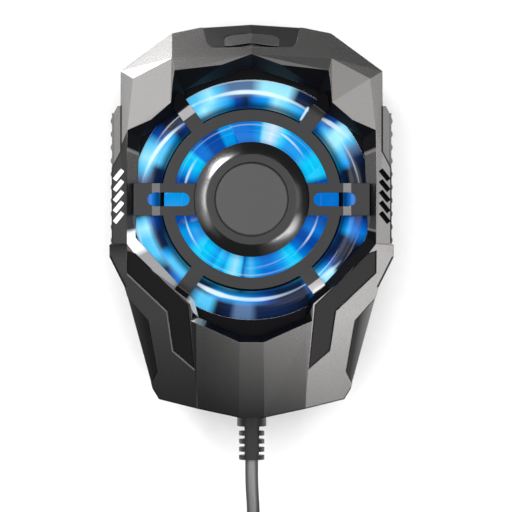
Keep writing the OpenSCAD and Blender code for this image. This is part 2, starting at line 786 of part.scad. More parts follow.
// Fan: frame, board, stator, bearing and rotor
frame_r0 = 21;
frame_r1 = 22.4;
frame_base_r = 10.4;
strut_w = 3;
strut_angles = [30, 150, 270];
boss_r = 3.1;
sleeve_r = 2.2;
z_motor = z_fan + fan_base_t;
frame_top_gap = 0.1;
frame_top = z_deck - deck_t - frame_top_gap;
boss_h = 4;
sleeve_lift = 0.2;

module fan_frame() {
    color([0.12, 0.12, 0.13]) translate([0, fan_y, 0]) difference() {
        union() {
            tube(frame_r0, frame_r1, z_fan, frame_top);
            translate([0, 0, z_fan]) cylinder(r = frame_base_r, h = fan_base_t);
            translate([0, 0, z_motor - fan_base_t / 2]) cylinder(r = boss_r, h = boss_h + fan_base_t / 2);
            for (a = strut_angles) rotate([0, 0, a])
                box(boss_r, (frame_r0 + frame_r1) / 2, -strut_w / 2, strut_w / 2, z_fan, z_motor);
            for (a = [45:90:315]) rotate([0, 0, a]) {
                box((frame_r0 + frame_r1) / 2, fan_lug_r, -fan_boss_r, fan_boss_r, z_fan, z_fan + lug_t);
                translate([fan_lug_r, 0, z_fan]) cylinder(r = fan_boss_r, h = lug_t);
            }
        }
        translate([0, 0, z_motor]) cylinder(r = sleeve_r, h = boss_h + over);
        for (a = [45:90:315]) rotate([0, 0, a])
            translate([fan_lug_r, 0, z_fan - over]) cylinder(r = fan_screw_r + run_gap, h = lug_t + 2 * over);
    }
}

fan_board_r = 9;
fan_board_t = 0.8;
stator_r1 = 8.4;
stator_h = 2.4;
stator_poles = 6;
pole_w = 2.2;
core_r = 4.4;
shoe_t = 1;
shoe_w = 5.4;
coil_w = 3.6;
stator_lift = 0.5;
z_stator = z_motor + fan_board_t + stator_lift;

module fan_board() {
    color([0.05, 0.3, 0.15]) translate([0, fan_y, 0])
        tube(boss_r + run_gap, fan_board_r, z_motor, z_motor + fan_board_t);
}

module stator_core() {
    color([0.55, 0.55, 0.58]) translate([0, fan_y, z_stator]) difference() {
        union() {
            cylinder(r = core_r, h = stator_h);
            intersection() {
                cylinder(r = stator_r1, h = stator_h);
                for (i = [0:stator_poles - 1]) rotate([0, 0, 360 * i / stator_poles]) {
                    translate([0, -pole_w / 2, 0]) cube([stator_r1, pole_w, stator_h]);
                    translate([stator_r1 - shoe_t, -shoe_w / 2, 0]) cube([shoe_t, shoe_w, stator_h]);
                }
            }
        }
        translate([0, 0, -over]) cylinder(r = boss_r, h = stator_h + 2 * over);
    }
}

module stator_windings() {
    coil_l = stator_r1 - shoe_t - core_r - 2 * fit_gap;
    color([0.75, 0.4, 0.15]) translate([0, fan_y, z_stator]) for (i = [0:stator_poles - 1])
        rotate([0, 0, 360 * i / stator_poles])
        translate([core_r + fit_gap, 0, 0]) difference() {
            translate([0, -coil_w / 2, -stator_lift / 2]) cube([coil_l, coil_w, stator_h + stator_lift]);
            translate([-over, -pole_w / 2, 0]) cube([coil_l + 2 * over, pole_w, stator_h]);
        }
}

module bearing_sleeve() {
    color([0.75, 0.6, 0.3]) translate([0, fan_y, 0])
        tube(shaft_r + run_gap, sleeve_r, z_motor, z_motor + boss_h + sleeve_lift);
}

cup_t = 0.8;
cup_wall = 0.7;
cup_lift = 0.5;
magnet_t = 1;
magnet_h = 3;
z_cup = z_motor + cup_lift;
cup_h = 5.6;
z_rotor_top = z_cup + cup_h;
blade_t = 0.8;
band_r = 15.9;
band_t = 0.5;
band_h = 2;

module fan_rotor() {
    color([0.3, 0.65, 0.95, 0.7]) translate([0, fan_y, 0]) difference() {
        union() {
            translate([0, 0, z_cup]) cylinder(r = hub_r, h = cup_h);
            intersection() {
                tube(hub_r - cup_wall / 2, blade_r, z_cup, z_cup + blade_h);
                for (i = [0:blade_count - 1]) rotate([0, 0, 360 * i / blade_count])
                    translate([0, 0, z_cup + blade_h / 2]) rotate([blade_angle, 0, 0])
                        translate([0, -blade_h, -blade_t / 2]) cube([blade_r + over, 2 * blade_h, blade_t]);
            }
            tube(band_r, band_r + band_t, z_cup + blade_h - band_h, z_cup + blade_h);
        }
        translate([0, 0, z_cup - over]) cylinder(r = hub_r - cup_wall, h = cup_h - cup_t + over);
        translate([0, 0, z_cup]) cylinder(r = shaft_r, h = cup_h + over);
    }
}

module magnet_ring() {
    color([0.25, 0.25, 0.27]) translate([0, fan_y, 0])
        tube(hub_r - cup_wall - magnet_t, hub_r - cup_wall, z_rotor_top - cup_t - magnet_h,
             z_rotor_top - cup_t);
}

module rotor_shaft() {
    color([0.8, 0.8, 0.82]) translate([0, fan_y, z_motor + sleeve_lift])
        cylinder(r = shaft_r, h = z_rotor_top - z_motor - sleeve_lift);
}

// Cooling stack
sink_gap = 0.63;
fin_count = 2 * floor((sink_w / 2 - fin_t) / fin_pitch) + 1;

module sink_plan() {
    h = sink_w / 2;
    c = min((fan_lug_r - fan_boss_r - sink_gap) * sqrt(2) - h, h - fin_t);
    polygon([[c, h], [h, c], [h, -c], [c, -h], [-c, -h], [-h, -c], [-h, c], [-c, h]]);
}

module heat_sink() {
    color([0.72, 0.73, 0.75]) translate([0, fan_y, z_sink]) difference() {
        union() {
            linear_extrude(sink_base_t) sink_plan();
            intersection() {
                linear_extrude(sink_base_t + fin_h) sink_plan();
                for (i = [0:fin_count - 1])
                    translate([(i - (fin_count - 1) / 2) * fin_pitch - fin_t / 2, -sink_w / 2, sink_base_t / 2])
                    cube([fin_t, sink_w, sink_base_t / 2 + fin_h]);
            }
        }
        for (s = [-1, 1]) translate([s * sink_screw_x, 0, 0]) {
            translate([0, 0, -over]) cylinder(r = sink_screw_r + run_gap, h = sink_base_t + 2 * over);
            translate([0, 0, sink_base_t]) cylinder(r = sink_head_r + slide_gap, h = fin_h + over);
        }
    }
}

ceramic_t = 0.7;
pellet_w = 1.2;
pellet_grid = 7;
pellet_pitch = 2.6;

module cooling_tile() {
    color([0.93, 0.93, 0.9]) translate([-tile_w / 2, fan_y - tile_w / 2, z_floor]) {
        cube([tile_w, tile_w, ceramic_t]);
        translate([0, 0, tile_t - ceramic_t]) cube([tile_w, tile_w, ceramic_t]);
    }
}

module tile_pellets() {
    span = (pellet_grid - 1) * pellet_pitch;
    color([0.5, 0.5, 0.52])
        translate([-span / 2 - pellet_w / 2, fan_y - span / 2 - pellet_w / 2, z_floor + ceramic_t])
        for (i = [0:pellet_grid - 1]) for (j = [0:pellet_grid - 1])
            translate([i * pellet_pitch, j * pellet_pitch, 0])
                cube([pellet_w, pellet_w, tile_t - 2 * ceramic_t]);
}

module cold_plate() {
    color([0.78, 0.79, 0.8]) translate([0, fan_y, 0]) {
        box(-plate_w / 2, plate_w / 2, -plate_w / 2, plate_w / 2, z_back, z_back + plate_flange_t);
        box(-pedestal_w / 2, pedestal_w / 2, -pedestal_w / 2, pedestal_w / 2, z_back, z_floor);
    }
}

pad_margin = 1;

module thermal_pad() {
    w = plate_w - 2 * pad_margin;
    color([0.35, 0.38, 0.42]) translate([0, fan_y, 0]) box(-w / 2, w / 2, -w / 2, w / 2, jaw_h, z_back);
}

// Parts on the control board, and the wires to the tile
coil_part_r = 2.4;
coil_part_h = 2.6;
chip_w = 4;
chip_h = 0.9;
cap_r = 1.5;
cap_h = 4.5;

module control_board() {
    color([0.05, 0.3, 0.15]) box(-board_x, board_x, board_y0, board_y1, z_board, z_board + board_t);
}

module board_parts() {
    z = z_board + board_t;
    color([0.15, 0.15, 0.16]) {
        translate([-board_x / 2, board_y1 - 2 * coil_part_r, z]) cylinder(r = coil_part_r, h = coil_part_h);
        box(0, chip_w, board_y1 - 2 * chip_w, board_y1 - chip_w, z, z + chip_h);
        translate([board_x - 2 * cap_r, board_y1 - 2 * cap_r, z]) cylinder(r = cap_r, h = cap_h);
        translate([-board_x + 2 * cap_r, board_y0 + 2 * cap_r, z]) cylinder(r = cap_r, h = cap_h);
    }
}

wire_r = 0.4;
wire_gap = 1.2;
wire_clear = 3;
wire_x = sink_w / 2 + wire_clear;
wire_y = 5;
wire_bend = 3;
z_wire = z_floor + tile_t / 2;
z_wire_end = z_board + board_t + wire_r;

module tile_wires() {
    for (k = [0, 1]) {
        d = k * wire_gap;
        y0 = fan_y + wire_y + d;
        y1 = board_y1 - wire_gap - wire_bend / 2 - d;
        color(k == 0 ? [0.7, 0.05, 0.05] : [0.05, 0.05, 0.05])
            swept([[-tile_w / 2, y0, z_wire], [-wire_x - d + wire_bend, y0, z_wire],
                [-wire_x - d, y0 - wire_bend, (z_wire + z_wire_end) / 2],
                   [-wire_x - d, y0 - 2 * wire_bend, z_wire_end],
                       [-wire_x - d, board_y1 + wire_y, z_wire_end],
                   [-board_x - wire_bend, y1, z_wire_end], [-board_x + 2 * wire_gap, y1, z_wire_end]],
                       wire_r, 8);
    }
}

supply_r = 0.5;
supply_x = 0.8;

module supply_wires() {
    y0 = gland_y + wall + gland_flange_t;
    y1 = board_y0 + wire_gap;
    z1 = z_board + board_t + supply_r;
    for (s = [-1, 1])
        color(s > 0 ? [0.7, 0.05, 0.05] : [0.05, 0.05, 0.05])
            swept([[s * supply_x, y0, z_cable], [s * supply_x, (y0 + y1) / 2, z_cable],
                [s * supply_x, y1, (z_cable + z1) / 2],
                   [s * supply_x, y1 + wire_gap, z1], [s * supply_x, y1 + wire_bend, z1]], supply_r, 8);
}

// Arms with their legs
module rack_teeth(count, x_mid) {
    half = tooth_pitch / 4 - tooth_gap / 2;
    run = tan(tooth_slope);
    linear_extrude(leg_t) for (i = [0:count - 1]) translate([x_mid + (i - count + 2) * tooth_pitch, 0])
        polygon([[-half - run * root_h, root_h], [-half + run * tip_h, -tip_h],
                 [half - run * tip_h, -tip_h], [half + run * root_h, root_h]]);
}

rack_teeth_count = ceil(travel / tooth_pitch) + 2;
rack_tail = 1;
rack_end = (rack_teeth_count - 2) * tooth_pitch + tooth_pitch / 2 + rack_tail;

// Arm on the +X side; upper is 1 where its rack runs above the pinion, -1 below it
module arm(upper) {
    wall_x1 = half_w - grip_t;
    arm_wall(wall_x1);
    box(arm_x0, wall_x1, arm_y - jaw_w / 2, arm_y + jaw_w / 2, 0, z_back);
    box(arm_x0 - lip_reach, wall_x1, arm_y - jaw_w / 2, arm_y + jaw_w / 2, 0, lip_t);
    box(low_leg_x, arm_x0 + fit_gap, low_leg_y0, low_leg_y1, z_leg, z_leg + leg_t);
    box(low_leg_x, low_leg_x + hook_t, hook_y0, low_leg_y1, z_leg, z_leg + leg_t);
    y_bar = pinion_y + upper * (pitch_r + root_h);
    box(-rack_end, arm_x0 + fit_gap, min(y_bar, y_bar + upper * rack_bar_w),
        max(y_bar, y_bar + upper * rack_bar_w), z_leg, z_leg + leg_t);
    translate([0, pinion_y + upper * pitch_r, z_leg]) faced(upper) rack_teeth(rack_teeth_count, 0);
}

module faced(s) {
    if (s < 0) mirror([0, 1, 0]) children();
    else children();
}

module arm_wall(x1) {
    translate([0, 0, z_back - lip_t]) linear_extrude(z_arm - z_back + lip_t)
        polygon([[arm_x0, arm_y0], [x1, arm_y0], [x1, arm_y1 - corner_y],
            [x1 - corner_x + grip_t, arm_y1], [arm_x0, arm_y1]]);
}

module right_arm() {
    color([0.3, 0.3, 0.3]) arm(1);
}

module left_arm() {
    color([0.3, 0.3, 0.3]) mirror([1, 0, 0]) arm(-1);
}

module grip() {
    x0 = half_w - grip_t;
    y0 = arm_y0;
    y1 = arm_y1 - corner_y - fit_gap;
    z0 = z_back + lip_t;
    intersection() {
        union() {
            box(x0, half_w - rib_proud, y0, y1, z0, z_arm - fit_gap);
            for (i = [0:rib_count - 1])
                translate([half_w - rib_r, y0 + rib_r + i * rib_pitch, z0])
                    cylinder(r = rib_r, h = z_arm - fit_gap - z0);
        }
        box(x0, half_w + over, y0, y1, z0, z_arm);
    }
}

module right_grip() {
    color([0.1, 0.1, 0.1]) grip();
}

module left_grip() {
    color([0.1, 0.1, 0.1]) mirror([1, 0, 0]) grip();
}

liner_margin = 1;

module jaw_liner() {
    y0 = arm_y - jaw_w / 2 + liner_margin;
    y1 = arm_y + jaw_w / 2 - liner_margin;
    box(arm_x0 - liner_t, arm_x0, y0, y1, lip_t, jaw_h - liner_margin);
    box(arm_x0 - lip_reach + liner_margin, arm_x0, y0, y1, lip_t, lip_t + liner_t);
}

module right_jaw_liner() {
    color([0.12, 0.12, 0.12]) jaw_liner();
}

module left_jaw_liner() {
    color([0.12, 0.12, 0.12]) mirror([1, 0, 0]) jaw_liner();
}

// Pinion with involute teeth
function unwound(r, base) = let (a = acos(min(1, base / r))) tan(a) * 180 / PI - a;
flank_steps = 5;

module pinion_plan() {
    base = pitch_r * cos(tooth_slope);
    root = pitch_r - root_h;
    tip = pitch_r + tip_h;
    half = 90 / pinion_teeth - tooth_gap / 2 / pitch_r * 180 / PI / 2;
    low = max(base, root);
    flank = [for (k = [0:flank_steps]) let (r = low + (tip - low) * k / flank_steps)
             [r, half + unwound(pitch_r, base) - unwound(r, base)]];
    tooth = concat([[root, flank[0][1]]], flank);
    pts = [for (i = [0:pinion_teeth - 1]) let (c = 360 * i / pinion_teeth)
           for (p = concat([for (q = tooth) [q[0], c - q[1]]],
               [for (k = [len(tooth) - 1:-1:0]) [tooth[k][0], c + tooth[k][1]]]))
           p[0] * [cos(p[1]), sin(p[1])]];
    polygon(pts);
}

module pinion() {
    color([0.85, 0.83, 0.75]) translate([0, pinion_y, z_leg]) difference() {
        linear_extrude(leg_t) pinion_plan();
        translate([0, 0, -over]) cylinder(r = pinion_pin_r + run_gap, h = leg_t + 2 * over);
    }
}

module pinion_pin() {
    color([0.8, 0.8, 0.82]) translate([0, pinion_y, z_back + plate_flange_t])
        cylinder(r = pinion_pin_r, h = z_sink - slide_gap - z_back - plate_flange_t);
}

// Return springs, wound in the space between the anchor and a leg's hook
spring_steps = 8;

module return_spring() {
    x0 = anchor_x;
    x1 = low_leg_x;
    mid_r = spring_r - spring_wire_r;
    end_l = 2 * spring_wire_r;
    z = z_leg + leg_t / 2;
    n = spring_turns * spring_steps;
    turns = [for (i = [0:n]) let (a = 360 * i / spring_steps)
             [x0 + end_l + (x1 - x0 - 2 * end_l) * i / n, spring_y + mid_r * cos(a), z + mid_r * sin(a)]];
    swept(concat([[x0, spring_y + mid_r, z - spring_wire_r]], turns,
        [[x1, spring_y + mid_r, z + spring_wire_r]]),
          spring_wire_r, 6, [1, 0, 0]);
}

module right_spring() {
    color([0.75, 0.75, 0.77]) return_spring();
}

module left_spring() {
    color([0.75, 0.75, 0.77]) mirror([1, 0, 0]) return_spring();
}

// Screws
module screw(r, l, head_r, head_h) {
    cylinder(r = r, h = l);
    translate([0, 0, -head_h]) difference() {
        cylinder(r = head_r, h = head_h);
        translate([-head_r / 2, -r / 4, -over]) cube([head_r, r / 2, head_h / 2 + over]);
        translate([-r / 4, -head_r / 2, -over]) cube([r / 2, head_r, head_h / 2 + over]);
    }
}

module shell_screws() {
    color([0.3, 0.3, 0.3]) at_each(shell_places)
        translate([0, 0, z_back + head_skin + shell_head_h]) screw(shell_screw_r, shell_screw_l,
        shell_head_r, shell_head_h);
}

module deck_screws() {
    color([0.3, 0.3, 0.3]) at_each(deck_places)
        translate([0, 0, z_deck - deck_t]) screw(deck_screw_r, deck_screw_l, deck_head_r, deck_head_h);
}

fan_screw_l = 5;

module fan_screws() {
    color([0.6, 0.6, 0.62]) at_each(fan_places)
        translate([0, 0, z_fan + lug_t]) mirror([0, 0, 1]) screw(fan_screw_r, fan_screw_l, fan_head_r,
        fan_head_h);
}

module sink_screws() {
    color([0.6, 0.6, 0.62]) at_each(sink_places)
        translate([0, 0, z_fins]) mirror([0, 0, 1]) screw(sink_screw_r, sink_base_t + tile_t - over,
        sink_head_r, sink_head_h);
}

// Strain relief: a collar, four ribs open at both sides of a spine, and a flange in the housing
module strain_relief() {
    color([0.06, 0.06, 0.06]) translate([0, gland_y, z_cable]) rotate([90, 0, 0]) {
        cylinder(r = relief_r, h = relief_collar_l);
        translate([0, 0, -wall - over]) cylinder(r = gland_neck_r, h = wall + 2 * over);
        translate([-gland_flange_x, wall - gland_flange_x, -wall - gland_flange_t])
            cube([2 * gland_flange_x, 2 * (gland_flange_x - wall), gland_flange_t]);
        intersection() {
            cylinder(r = relief_rib_r, h = relief_l);
            translate([-relief_spine_w / 2, -relief_rib_r, 0])
                cube([relief_spine_w, 2 * relief_rib_r, relief_l]);
        }
        for (i = [1:relief_ribs])
            translate([0, 0, relief_l - relief_rib_l - (relief_ribs - i) * relief_rib_pitch])
            cylinder(r = relief_rib_r, h = relief_rib_l);
    }
}

// Cable: free stretch, coil of piled turns, tie and plug
tie_t = 0.5;
coil_lift = tie_t + run_gap;
coil_layers = 4;
z_layer = coil_lift + cable_d / 2;
loop_rings = 24;
// Route of the free stretch, from the strain relief to the coil
cable_points = [[0, -56, 20.5], [0, -59.5, 20.5], [0.1, -63, 20.2], [0.3, -66.5, 19.5], [0.4, -70, 18.5],
                [0.5, -73.5, 17.3], [0.6, -77, 16], [0.8, -80.5, 14.8], [0.9, -84, 13.9], [1, -87.5, 13.3],
                [1, -91, 13.05], [1, -94, 13.05]];
coil_in = cable_points[len(cable_points) - 1];
coil_centre = [coil_in[0] + coil_r, coil_in[1] - cable_d];
turns_per_layer = coil_turns / coil_layers;
tail_l = 14;
plug_h = 7.2;
z_plug = plug_h / 2;

// Share of the way from the first layer to the last, in steps of a half turn about each reversal
function ramp(t) = max(0, min(1, t));
function layer_at(t) = coil_layers - 1 - (ramp((t - turns_per_layer) * 2 + 0.5)
                       + ramp((t - 2 * turns_per_layer) * 2 + 0.5)
                           + ramp((t - 3 * turns_per_layer) * 2 + 0.5));
function drawn_turns(t) = let (u = t - 2 * turns_per_layer * floor(t / 2 / turns_per_layer))
                          u < turns_per_layer ? u : 2 * turns_per_layer - u;
function coil_point(t) = let (r = coil_r - turn_pitch * drawn_turns(t), a = 180 + 360 * t)
    [coil_centre[0] + r * cos(a), coil_centre[1] + r * sin(a), z_layer + turn_pitch * layer_at(t)];
coil_path = concat([coil_in], [for (i = [0:coil_turns * loop_rings]) coil_point(i / loop_rings)],
                   [for (k = [1:4]) let (u = k / 4) [coil_in[0], coil_centre[1] - tail_l * u,
                       z_layer + (z_plug - z_layer) * u * u * (3 - 2 * u)]],
                   [[coil_in[0], coil_centre[1] - tail_l - cable_d, z_plug]]);
coil_gap = min([for (i = [0:len(coil_path) - 1])
    for (j = [i + loop_rings / 2:len(coil_path) - 1]) norm(coil_path[i] - coil_path[j])]) - cable_d;
cable_l = path_l(cable_points) + path_l(coil_path);
function path_l(path) = lengths_sum([for (i = [1:len(path) - 1]) norm(path[i] - path[i - 1])], 0);
function lengths_sum(v, i) = i >= len(v) ? 0 : v[i] + lengths_sum(v, i + 1);
echo(coil_gap = coil_gap, cable_l = cable_l);

module power_cable() {
    color([0.07, 0.07, 0.07]) swept(cable_points, cable_d / 2, 8);
}

module cable_coil() {
    color([0.07, 0.07, 0.07]) swept(coil_path, cable_d / 2, 6);
}

tie_w = 5;
tie_gap = 0.3;

module cable_tie() {
    x0 = coil_centre[0] + coil_r - turn_pitch * turns_per_layer - cable_d / 2 - tie_gap;
    x1 = coil_centre[0] + coil_r - turn_pitch / 2 + cable_d / 2 + tie_gap;
    z1 = z_layer + turn_pitch * (coil_layers - 1) + cable_d / 2 + tie_gap;
    y0 = coil_centre[1] - tie_w / 2;
    color([0.1, 0.1, 0.1]) difference() {
        box(x0 - tie_t, x1 + tie_t, y0, y0 + tie_w, 0, z1 + tie_t);
        box(x0, x1, y0 - over, y0 + tie_w + over, tie_t, z1);
    }
}

plug_w = 12.4;
plug_l = 21;
plug_nose_l = 5;
plug_nose_r = 2.6;
plug_round = 1.6;
usb_w = 12;
usb_h = 4.5;
usb_l = 14;
usb_t = 0.35;
tongue_h = 1.8;
usb_sink = 2;
plug_y = coil_centre[1] - tail_l - cable_d;

module rounded_bar(w, h, l, r) {
    rotate([90, 0, 0]) linear_extrude(l) union() {
        square([w - 2 * r, h], center = true);
        square([w, h - 2 * r], center = true);
        for (sx = [-1, 1]) for (sy = [-1, 1]) translate([sx * (w / 2 - r), sy * (h / 2 - r)]) circle(r = r);
    }
}

module usb_plug_body() {
    color([0.08, 0.08, 0.08]) translate([coil_in[0], plug_y, z_plug]) difference() {
        union() {
            rotate([90, 0, 0]) cylinder(r = plug_nose_r, h = plug_nose_l);
            translate([0, -plug_nose_l, 0]) rounded_bar(plug_w, plug_h, plug_l, plug_round);
        }
        translate([0, -plug_nose_l - plug_l + usb_sink, 0]) rounded_bar(usb_w, usb_h, usb_sink + over,
            plug_round / 4);
    }
}

module usb_plug_shell() {
    color([0.78, 0.79, 0.8]) translate([coil_in[0], plug_y - plug_nose_l - plug_l + usb_sink, z_plug])
        difference() {
        rounded_bar(usb_w, usb_h, usb_l, plug_round / 4);
        translate([0, -usb_sink, 0]) rounded_bar(usb_w - 2 * usb_t, usb_h - 2 * usb_t, usb_l, usb_t / 2);
    }
}

module usb_plug_tongue() {
    w = usb_w - 2 * usb_t - fit_gap;
    color([0.9, 0.9, 0.9]) translate([coil_in[0], plug_y - plug_nose_l - plug_l, z_plug]) rotate([90, 0, 0])
        translate([-w / 2, -usb_h / 2 + usb_t, 0]) cube([w, tongue_h, usb_l - usb_sink - usb_t]);
}

front_shell();
rear_shell();
window_deck();
top_inlay();
left_lower_inlay();
right_lower_inlay();
left_side_insert();
right_side_insert();
mode_button();
switch_plunger();
switch_body();
switch_board();
fan_guard();
hub_trim_ring();
hub_disc();
light_ring();
led_board();
led_chips();
fan_frame();
fan_board();
stator_core();
stator_windings();
bearing_sleeve();
fan_rotor();
magnet_ring();
rotor_shaft();
heat_sink();
cooling_tile();
tile_pellets();
cold_plate();
thermal_pad();
control_board();
board_parts();
tile_wires();
left_arm();
right_arm();
left_grip();
right_grip();
left_jaw_liner();
right_jaw_liner();
pinion();
pinion_pin();
left_spring();
right_spring();
shell_screws();
deck_screws();
fan_screws();
sink_screws();
strain_relief();
power_cable();
supply_wires();
cable_coil();
cable_tie();
usb_plug_body();
usb_plug_shell();
usb_plug_tongue();
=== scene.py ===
"""Looks of a clamp-on phone cooling fan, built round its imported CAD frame.

The CAD nodes stay where they are. This script gives every node a finish, replaces the ones that
need softer edges or fuller shapes, and sets the camera, the lights and the floor.
"""

import json
import logging
import math
from dataclasses import dataclass, field
from enum import Enum
from functools import reduce
from typing import Any, Sequence

import bmesh
import bpy
from mathutils import Matrix, Vector

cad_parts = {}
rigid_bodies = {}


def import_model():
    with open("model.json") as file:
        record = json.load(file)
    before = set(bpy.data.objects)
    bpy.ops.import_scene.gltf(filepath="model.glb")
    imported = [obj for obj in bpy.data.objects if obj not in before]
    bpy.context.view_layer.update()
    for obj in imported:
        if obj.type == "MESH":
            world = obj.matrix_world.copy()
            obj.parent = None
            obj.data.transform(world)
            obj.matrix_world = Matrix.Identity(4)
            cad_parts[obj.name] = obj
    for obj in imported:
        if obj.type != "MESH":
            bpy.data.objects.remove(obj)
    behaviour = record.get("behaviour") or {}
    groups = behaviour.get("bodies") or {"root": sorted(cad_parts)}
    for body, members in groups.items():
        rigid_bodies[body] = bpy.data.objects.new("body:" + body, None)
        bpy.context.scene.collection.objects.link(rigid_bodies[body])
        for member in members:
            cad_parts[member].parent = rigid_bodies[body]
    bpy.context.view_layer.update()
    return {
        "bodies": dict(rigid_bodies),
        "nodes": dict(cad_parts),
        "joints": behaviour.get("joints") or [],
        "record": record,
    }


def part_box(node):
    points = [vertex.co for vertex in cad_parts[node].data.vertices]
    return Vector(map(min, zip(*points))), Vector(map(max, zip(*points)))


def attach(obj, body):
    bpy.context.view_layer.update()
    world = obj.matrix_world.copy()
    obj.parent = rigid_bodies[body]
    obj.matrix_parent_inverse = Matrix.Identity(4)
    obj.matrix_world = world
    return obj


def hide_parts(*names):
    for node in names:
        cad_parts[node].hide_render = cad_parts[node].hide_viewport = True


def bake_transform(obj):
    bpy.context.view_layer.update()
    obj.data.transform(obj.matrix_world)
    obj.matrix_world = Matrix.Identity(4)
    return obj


LOG = logging.getLogger("cooling_fan")
MM = 0.001
FAN_Y = 5.1 * MM
# Steepness of a painted boundary, per metre, and its softness where it is given as a width
SHARP = 9000.0
LINE = 0.1 * MM
# How far two vertices may be apart and still be one
WELD = 0.002 * MM

Colour = tuple[float, float, float]
Point = tuple[float, float, float]
Spot = tuple[float, float]
Edge = tuple[Spot, Spot]
Stops = Sequence[tuple[float, Colour]]


def linear(red: float, green: float, blue: float) -> Colour:
    """Turns screen tones of 0 to 255 into linear light.

    Args:
        red: Tone of the red channel.
        green: Tone of the green one.
        blue: Tone of the blue one.

    Returns:
        The colour.
    """

    def one(tone: float) -> float:
        """One channel."""
        share = tone / 255
        return share / 12.92 if share <= 0.04045 else ((share + 0.055) / 1.055) ** 2.4

    return (one(red), one(green), one(blue))


def scaled(colour: Colour, share: float) -> Colour:
    """A colour made lighter or darker by a factor."""
    return tuple(min(1.0, channel * share) for channel in colour)


class Body(Enum):
    """Bodies of the CAD model that new pieces ride on."""

    HOUSING = "housing"
    ROTOR = "rotor"
    RIGHT = "right_clamp"
    LEFT = "left_clamp"


# Shader trees


class Sock:
    """An output socket that takes part in sums."""

    def __init__(self, tree: "Tree", socket: Any) -> None:
        """Keeps the tree and the socket."""
        self.tree = tree
        self.socket = socket

    def _sum(self, operation: str, *others: Any) -> "Sock":
        """Adds one Math node and returns its result."""
        node = self.tree.node("ShaderNodeMath", {"operation": operation}, dict(enumerate((self, *others))))
        return Sock(self.tree, node.outputs[0])

    def __add__(self, other: Any) -> "Sock":
        """Sum."""
        return self._sum("ADD", other)

    def __radd__(self, other: Any) -> "Sock":
        """Sum, other way round."""
        return self._sum("ADD", other)

    def __sub__(self, other: Any) -> "Sock":
        """Difference."""
        return self._sum("SUBTRACT", other)

    def __rsub__(self, other: Any) -> "Sock":
        """Difference, other way round."""
        return self.tree.value(other)._sum("SUBTRACT", self)

    def __mul__(self, other: Any) -> "Sock":
        """Product."""
        return self._sum("MULTIPLY", other)

    def __rmul__(self, other: Any) -> "Sock":
        """Product, other way round."""
        return self._sum("MULTIPLY", other)

    def __truediv__(self, other: Any) -> "Sock":
        """Quotient."""
        return self._sum("DIVIDE", other)

    def __pow__(self, other: Any) -> "Sock":
        """Power."""
        return self._sum("POWER", other)

    def __neg__(self) -> "Sock":
        """The same with its sign turned."""
        return self._sum("MULTIPLY", -1.0)

    def __abs__(self) -> "Sock":
        """Size without its sign."""
        return self._sum("ABSOLUTE")

    def least(self, other: Any) -> "Sock":
        """The smaller of two."""
        return self._sum("MINIMUM", other)

    def most(self, other: Any) -> "Sock":
        """The larger of two."""
        return self._sum("MAXIMUM", other)

    def share(self) -> "Sock":
        """Kept between 0 and 1."""
        return self.most(0.0).least(1.0)

    def crisp(self, steepness: float = SHARP) -> "Sock":
        """One where this length is above nought, nought where it is below."""
        return (self * steepness).share()

    def sine(self) -> "Sock":
        """Sine of an angle in radians."""
        return self._sum("SINE")

    def part(self, other: Any) -> "Sock":
        """What is left over after whole steps of the other."""
        return self._sum("FLOORED_MODULO", other)

    def angle_from(self, across: Any) -> "Sock":
        """Angle whose rise is this value and whose run is the other."""
        return self._sum("ARCTAN2", across)

    def near(self, middle: float, half: float, soft: float) -> "Sock":
        """One inside a band, nought outside it.

        Args:
            middle: Centre of the band.
            half: Half its width.
            soft: Width of the slope at each side.

        Returns:
            A mask from 0 to 1.
        """
        return ((half + soft - abs(self - middle)) / soft).share()


